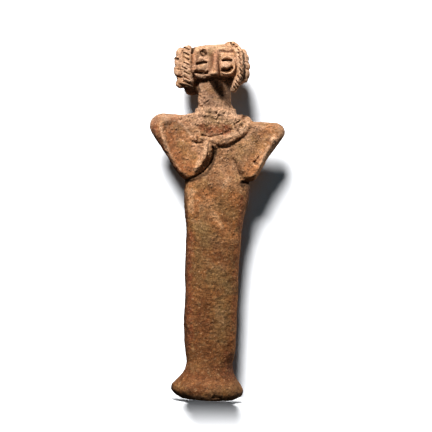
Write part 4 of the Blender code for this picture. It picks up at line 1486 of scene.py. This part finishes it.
@dataclass(frozen=True)
class ClayFinish:
    """Low-fired ochre-brown clay, stained, crusted with earth, rubbed light on its edges, full of grit."""

    deep: Colour = (0.190, 0.066, 0.018, 1.0)
    ochre: Colour = (0.340, 0.142, 0.044, 1.0)
    tan: Colour = (0.46, 0.245, 0.125, 1.0)
    light: Colour = (0.57, 0.352, 0.236, 1.0)
    orange: Colour = (0.50, 0.180, 0.056, 1.0)
    grey: Colour = (0.288, 0.174, 0.064, 1.0)
    crust: Colour = (0.355, 0.200, 0.082, 1.0)
    red: Colour = (0.245, 0.066, 0.024, 1.0)
    rubbed: Colour = (0.82, 0.525, 0.342, 1.0)
    rubbed_low: Colour = (0.66, 0.37, 0.185, 1.0)
    # dark brown of the specks, of dirt and of painted shade
    soil_and_shade: Colour = (0.060, 0.028, 0.012, 1.0)
    roughness: float = 0.86
    gloss: float = 0.25
    patch: float = 9.0  # sizes of the clay's marks, in millimetres
    crusting: float = 4.4
    mottling: float = 2.6
    rippling: float = 1.5
    crumb: float = 1.3
    speck: float = 1.1
    grit: float = 0.75
    relief: float = 0.42

    def material(self) -> bpy.types.Material:
        """Builds the shader: mottling, stains, crust, wear, crumbs, specks, dirt, painted shade, grit, a
        bump.
        """
        material = bpy.data.materials.new("fired_clay")
        material.use_nodes = True
        bench = Bench(material.node_tree)
        shader = material.node_tree.nodes["Principled BSDF"]
        where = bench.node("ShaderNodeTexCoord").outputs["Object"]
        level = bench.node("ShaderNodeMapping", {"Vector": where, "Scale": (0.5, 1.0, 1.0)}).outputs[0]
        patches = bench.noise(where, self.patch, 4.0, 0.62, 0.4)
        ripple = bench.noise(level, self.rippling, 3.0, 0.6)
        mottle = bench.noise(where, self.mottling, 4.0, 0.65)
        grain = bench.noise(where, self.grit, 3.0, 0.75)
        high, orange, grey, red, rubbed, soil_and_shade = (bench.value(name) for name in ("high", *TONES))
        low_clay = bench.mix(bench.span(patches, 0.34, 0.60), self.deep, self.ochre)
        high_clay = bench.mix(bench.span(patches, 0.38, 0.64), self.tan, self.light)
        colour = bench.mix(bench.times(high, 0.8), low_clay, high_clay)
        broken = bench.span(mottle, 0.32, 0.52)
        for share, tone in ((orange, self.orange), (grey, self.grey), (red, self.red)):
            patchy = bench.times(share, bench.span(mottle, 0.3, 0.6, 0.45, 1.0))
            colour = bench.mix(patchy, colour, tone)
        crust = bench.span(bench.noise(where, self.crusting, 6.0, 0.66), 0.53, 0.66)
        colour = bench.mix(bench.times(crust, 0.55), colour, self.crust)
        worn = bench.mix(high, self.rubbed_low, self.rubbed)
        colour = bench.mix(bench.times(rubbed, bench.times(broken, 0.8)), colour, worn)
        crumbs = bench.span(bench.noise(where, self.crumb, 2.0, 0.6), 0.62, 0.71, 0.0, 0.8)
        colour = bench.mix(crumbs, colour, worn)
        specks = bench.span(bench.noise(where, self.speck, 2.0, 0.65), 0.42, 0.32, 0.0, 0.5)
        colour = bench.mix(specks, colour, self.soil_and_shade)
        # painted shade: hollows, crevices and places the lamps leave dim turn dark, with some real dirt
        colour = bench.mix(bench.times(soil_and_shade, 0.85), colour, self.soil_and_shade)
        light_and_dark = bench.span(ripple, 0.3, 0.7, 0.74, 1.27)
        shade = bench.times(light_and_dark, bench.span(grain, 0.3, 0.7, 0.58, 1.44))
        colour = bench.mix(1.0, colour, shade, "MULTIPLY")
        height = bench.node("ShaderNodeMath", {0: bench.times(grain, 0.8), 1: ripple}).outputs[0]
        bump = bench.node(
            "ShaderNodeBump", {"Strength": 0.9, "Distance": self.relief * MM, "Height": height},
        ).outputs["Normal"]
        for name, value in (("Base Color", colour), ("Normal", bump)):
            material.node_tree.links.new(value, shader.inputs[name])
        shader.inputs["Roughness"].default_value = self.roughness
        shader.inputs["Specular IOR Level"].default_value = self.gloss
        return material


@dataclass(frozen=True)
class PaperFinish:
    """Matt paper, lit until all but its shadows are plain white, and clear from its back."""

    white: Colour = (0.300, 0.312, 0.335, 1.0)

    def material(self) -> bpy.types.Material:
        """A diffuse face and a clear back."""
        material = bpy.data.materials.new("paper")
        material.use_nodes = True
        bench = Bench(material.node_tree)
        bench.tree.nodes.remove(bench.tree.nodes["Principled BSDF"])
        out = bench.tree.nodes["Material Output"]
        face = bench.node("ShaderNodeBsdfDiffuse", {"Color": self.white}).outputs[0]
        clear = bench.node("ShaderNodeBsdfTransparent").outputs[0]
        back = bench.node("ShaderNodeNewGeometry").outputs["Backfacing"]
        bench.tree.links.new(bench.node("ShaderNodeMixShader", {0: back, 1: face, 2: clear}).outputs[0],
                             out.inputs["Surface"])
        return material


# ---------------------------------------------------------------- studio


@dataclass
class Lamp:
    """A round soft light on one subject, which stands at a distance and in a direction from its aim.

    The aim is in millimetres. The distance and the size are in metres, and the power is in watts.
    """

    name: str
    lit: Lit
    aim: tuple[float, float, float]
    away: tuple[float, float, float]
    distance: float
    size: float
    power: float
    colour: tuple[float, float, float] = (1.0, 0.965, 0.92)
    shadowless: bool = False

    def light(self) -> bpy.types.Light:
        """A glowing disc."""
        light = bpy.data.lights.new(self.name, "AREA")
        light.shape = "DISK"
        light.size = self.size
        return light

    def build(self) -> None:
        """Stands the lamp at its distance along its direction, facing its aim, for its own subject only."""
        light = self.light()
        light.energy = self.power
        light.color = self.colour
        light.use_shadow = not self.shadowless
        away = np.array(self.away) / np.linalg.norm(self.away)
        stand = bpy.data.objects.new(self.name, light)
        stand.location = np.array(self.aim) * MM + self.distance * away
        stand.rotation_euler = Vector(away).to_track_quat("Z", "Y").to_euler()
        stand.light_linking.receiver_collection = bpy.data.collections[self.lit.value]
        bpy.context.scene.collection.objects.link(stand)


@dataclass
class Spot(Lamp):
    """A lamp whose pool fades from its middle to its rim; the size is the rim's half angle in degrees."""

    bulb: float = 0.01

    def light(self) -> bpy.types.Light:
        """A cone with a fully soft rim."""
        light = bpy.data.lights.new(self.name, "SPOT")
        light.spot_size = math.radians(2 * self.size)
        light.spot_blend = 1.0
        light.shadow_soft_size = self.bulb
        return light


@dataclass
class Daylight(Lamp):
    """A lamp so far off that it lights evenly; its size is in degrees, its power in watts a square metre."""

    def light(self) -> bpy.types.Light:
        """Parallel light with soft-edged shadows."""
        light = bpy.data.lights.new(self.name, "SUN")
        light.angle = math.radians(self.size)
        return light


@dataclass
class Studio:
    """White paper below and behind, the lamps and the camera.

    The figure has a key light from high on the left and two weak ones from behind. The backdrop and the
    floor have lamps of their own, because the figure's shadow falls to the right on one and forwards on the
    other.
    """

    floor_reach: float = 3.0
    paper_gap: float = 16.5
    lamps: Sequence[Lamp] = (
        Lamp("key", Lit.FIGURE, (0.0, 0.0, 130.0), (-0.28, -0.62, 0.73), 0.40, 0.07, 2.6),
        Lamp("right_rim", Lit.FIGURE, (0.0, 0.0, 90.0), (0.85, 0.42, 0.33), 0.60, 0.30, 1.7),
        Lamp("back", Lit.FIGURE, (0.0, 0.0, 90.0), (-0.10, 0.95, 0.30), 0.60, 0.30, 1.3),
        Daylight("backdrop_key", Lit.BACKDROP, (0.0, 0.0, 100.0), (-0.195, -0.65, 0.66), 1.4, 20.5, 27.0),
        Daylight("backdrop_fill", Lit.BACKDROP, (0.0, 0.0, 100.0), (0.0, -1.0, 0.30), 1.4, 20.0, 0.20,
                 (0.05, 0.66, 1.0), shadowless=True),
        Daylight("floor_low", Lit.FLOOR, (0.0, 0.0, 0.0), (-0.035, 0.87, 0.50), 1.4, 4.0, 25.0),
        Daylight("floor_fill", Lit.FLOOR, (0.0, 0.0, 0.0), (0.0, 0.0, 1.0), 1.4, 20.0, 0.42,
                 (0.85, 0.96, 1.0), shadowless=True),
        Spot("floor_pool", Lit.FLOOR, (150.0, -445.0, 0.0), (0.0, 0.0, 1.0), 0.8, 30.2, 280.0),
        Spot("under_left", Lit.FLOOR, (-16.0, -1.0, 0.0), (-1.0, 0.0, 0.30), 0.35, 1.7, 130.0),
        Spot("under_right", Lit.FLOOR, (16.0, -1.0, 0.0), (1.0, 0.0, 0.30), 0.35, 1.7, 130.0),
    )
    ambient: float = 0.06
    view_distance: float = 1.1
    view_aim: tuple[float, float] = (1.1, 89.26)
    view_width: float = 211.2
    view_roll: float = 2.5
    sensor: float = 36.0

    def paper(self, lit: Lit, corners: Pairs) -> None:
        """A sheet that shows the figure's shadow and gives the figure no light back.

        Args:
            lit: which sheet it is.
            corners: its four corners, in metres, so that it faces the figure.
        """
        mesh = bpy.data.meshes.new(lit.value)
        mesh.from_pydata(corners, [], [(0, 1, 2, 3)])
        mesh.materials.append(PaperFinish().material())
        sheet = bpy.data.objects.new(lit.value, mesh)
        sheet.visible_diffuse = False
        sheet.visible_glossy = False
        sheet.visible_shadow = False
        show(sheet, lit)

    def papers(self) -> None:
        """One sheet to stand on and one close behind, which from behind is seen through."""
        far, gap = self.floor_reach, self.paper_gap * MM
        self.paper(Lit.FLOOR, ((-far, -far, 0), (far, -far, 0), (far, far, 0), (-far, far, 0)))
        self.paper(Lit.BACKDROP, ((-far, gap, 0), (far, gap, 0), (far, gap, far), (-far, gap, far)))

    def sky(self) -> None:
        """The world is white to the eye and dim as a light."""
        world = bpy.data.worlds.new("studio")
        bpy.context.scene.world = world
        world.use_nodes = True
        bench = Bench(world.node_tree)
        sky = world.node_tree.nodes["Background"]
        seen = bench.node("ShaderNodeLightPath").outputs["Is Camera Ray"]
        strength = bench.node(
            "ShaderNodeMapRange", {"Value": seen, "To Min": self.ambient, "To Max": 1.0},
        ).outputs["Result"]
        world.node_tree.links.new(strength, sky.inputs["Strength"])
        sky.inputs["Color"].default_value = (1.0, 1.0, 1.0, 1.0)

    def camera(self) -> None:
        """Looks level at the figure's middle, rolled so that the figure leans a little to the right."""
        data = bpy.data.cameras.new("camera")
        data.sensor_width = self.sensor
        data.lens = self.sensor * self.view_distance / (self.view_width * MM)
        data.clip_end = 20.0
        camera = bpy.data.objects.new("camera", data)
        camera.location = (self.view_aim[0] * MM, -self.view_distance, self.view_aim[1] * MM)
        camera.rotation_euler = (math.radians(90.0), math.radians(-self.view_roll), 0.0)
        bpy.context.scene.collection.objects.link(camera)
        bpy.context.scene.camera = camera

    def build(self) -> None:
        """Sets up the whole studio."""
        self.papers()
        self.sky()
        for lamp in self.lamps:
            lamp.build()
        self.camera()
        bpy.context.scene.view_settings.view_transform = "Standard"
        LOG.info("studio ready")


def show(piece: bpy.types.Object, lit: Lit) -> None:
    """Links a piece into the scene in a collection of its own, which its lamps shine on."""
    group = bpy.data.collections.new(lit.value)
    bpy.context.scene.collection.children.link(group)
    group.objects.link(piece)


def main() -> None:
    """Builds the figure and the studio."""
    logging.basicConfig(level=logging.INFO, format="%(name)s %(message)s")
    Figure().build(ClayFinish())
    Studio().build()


if __name__ == "__main__":
    main()
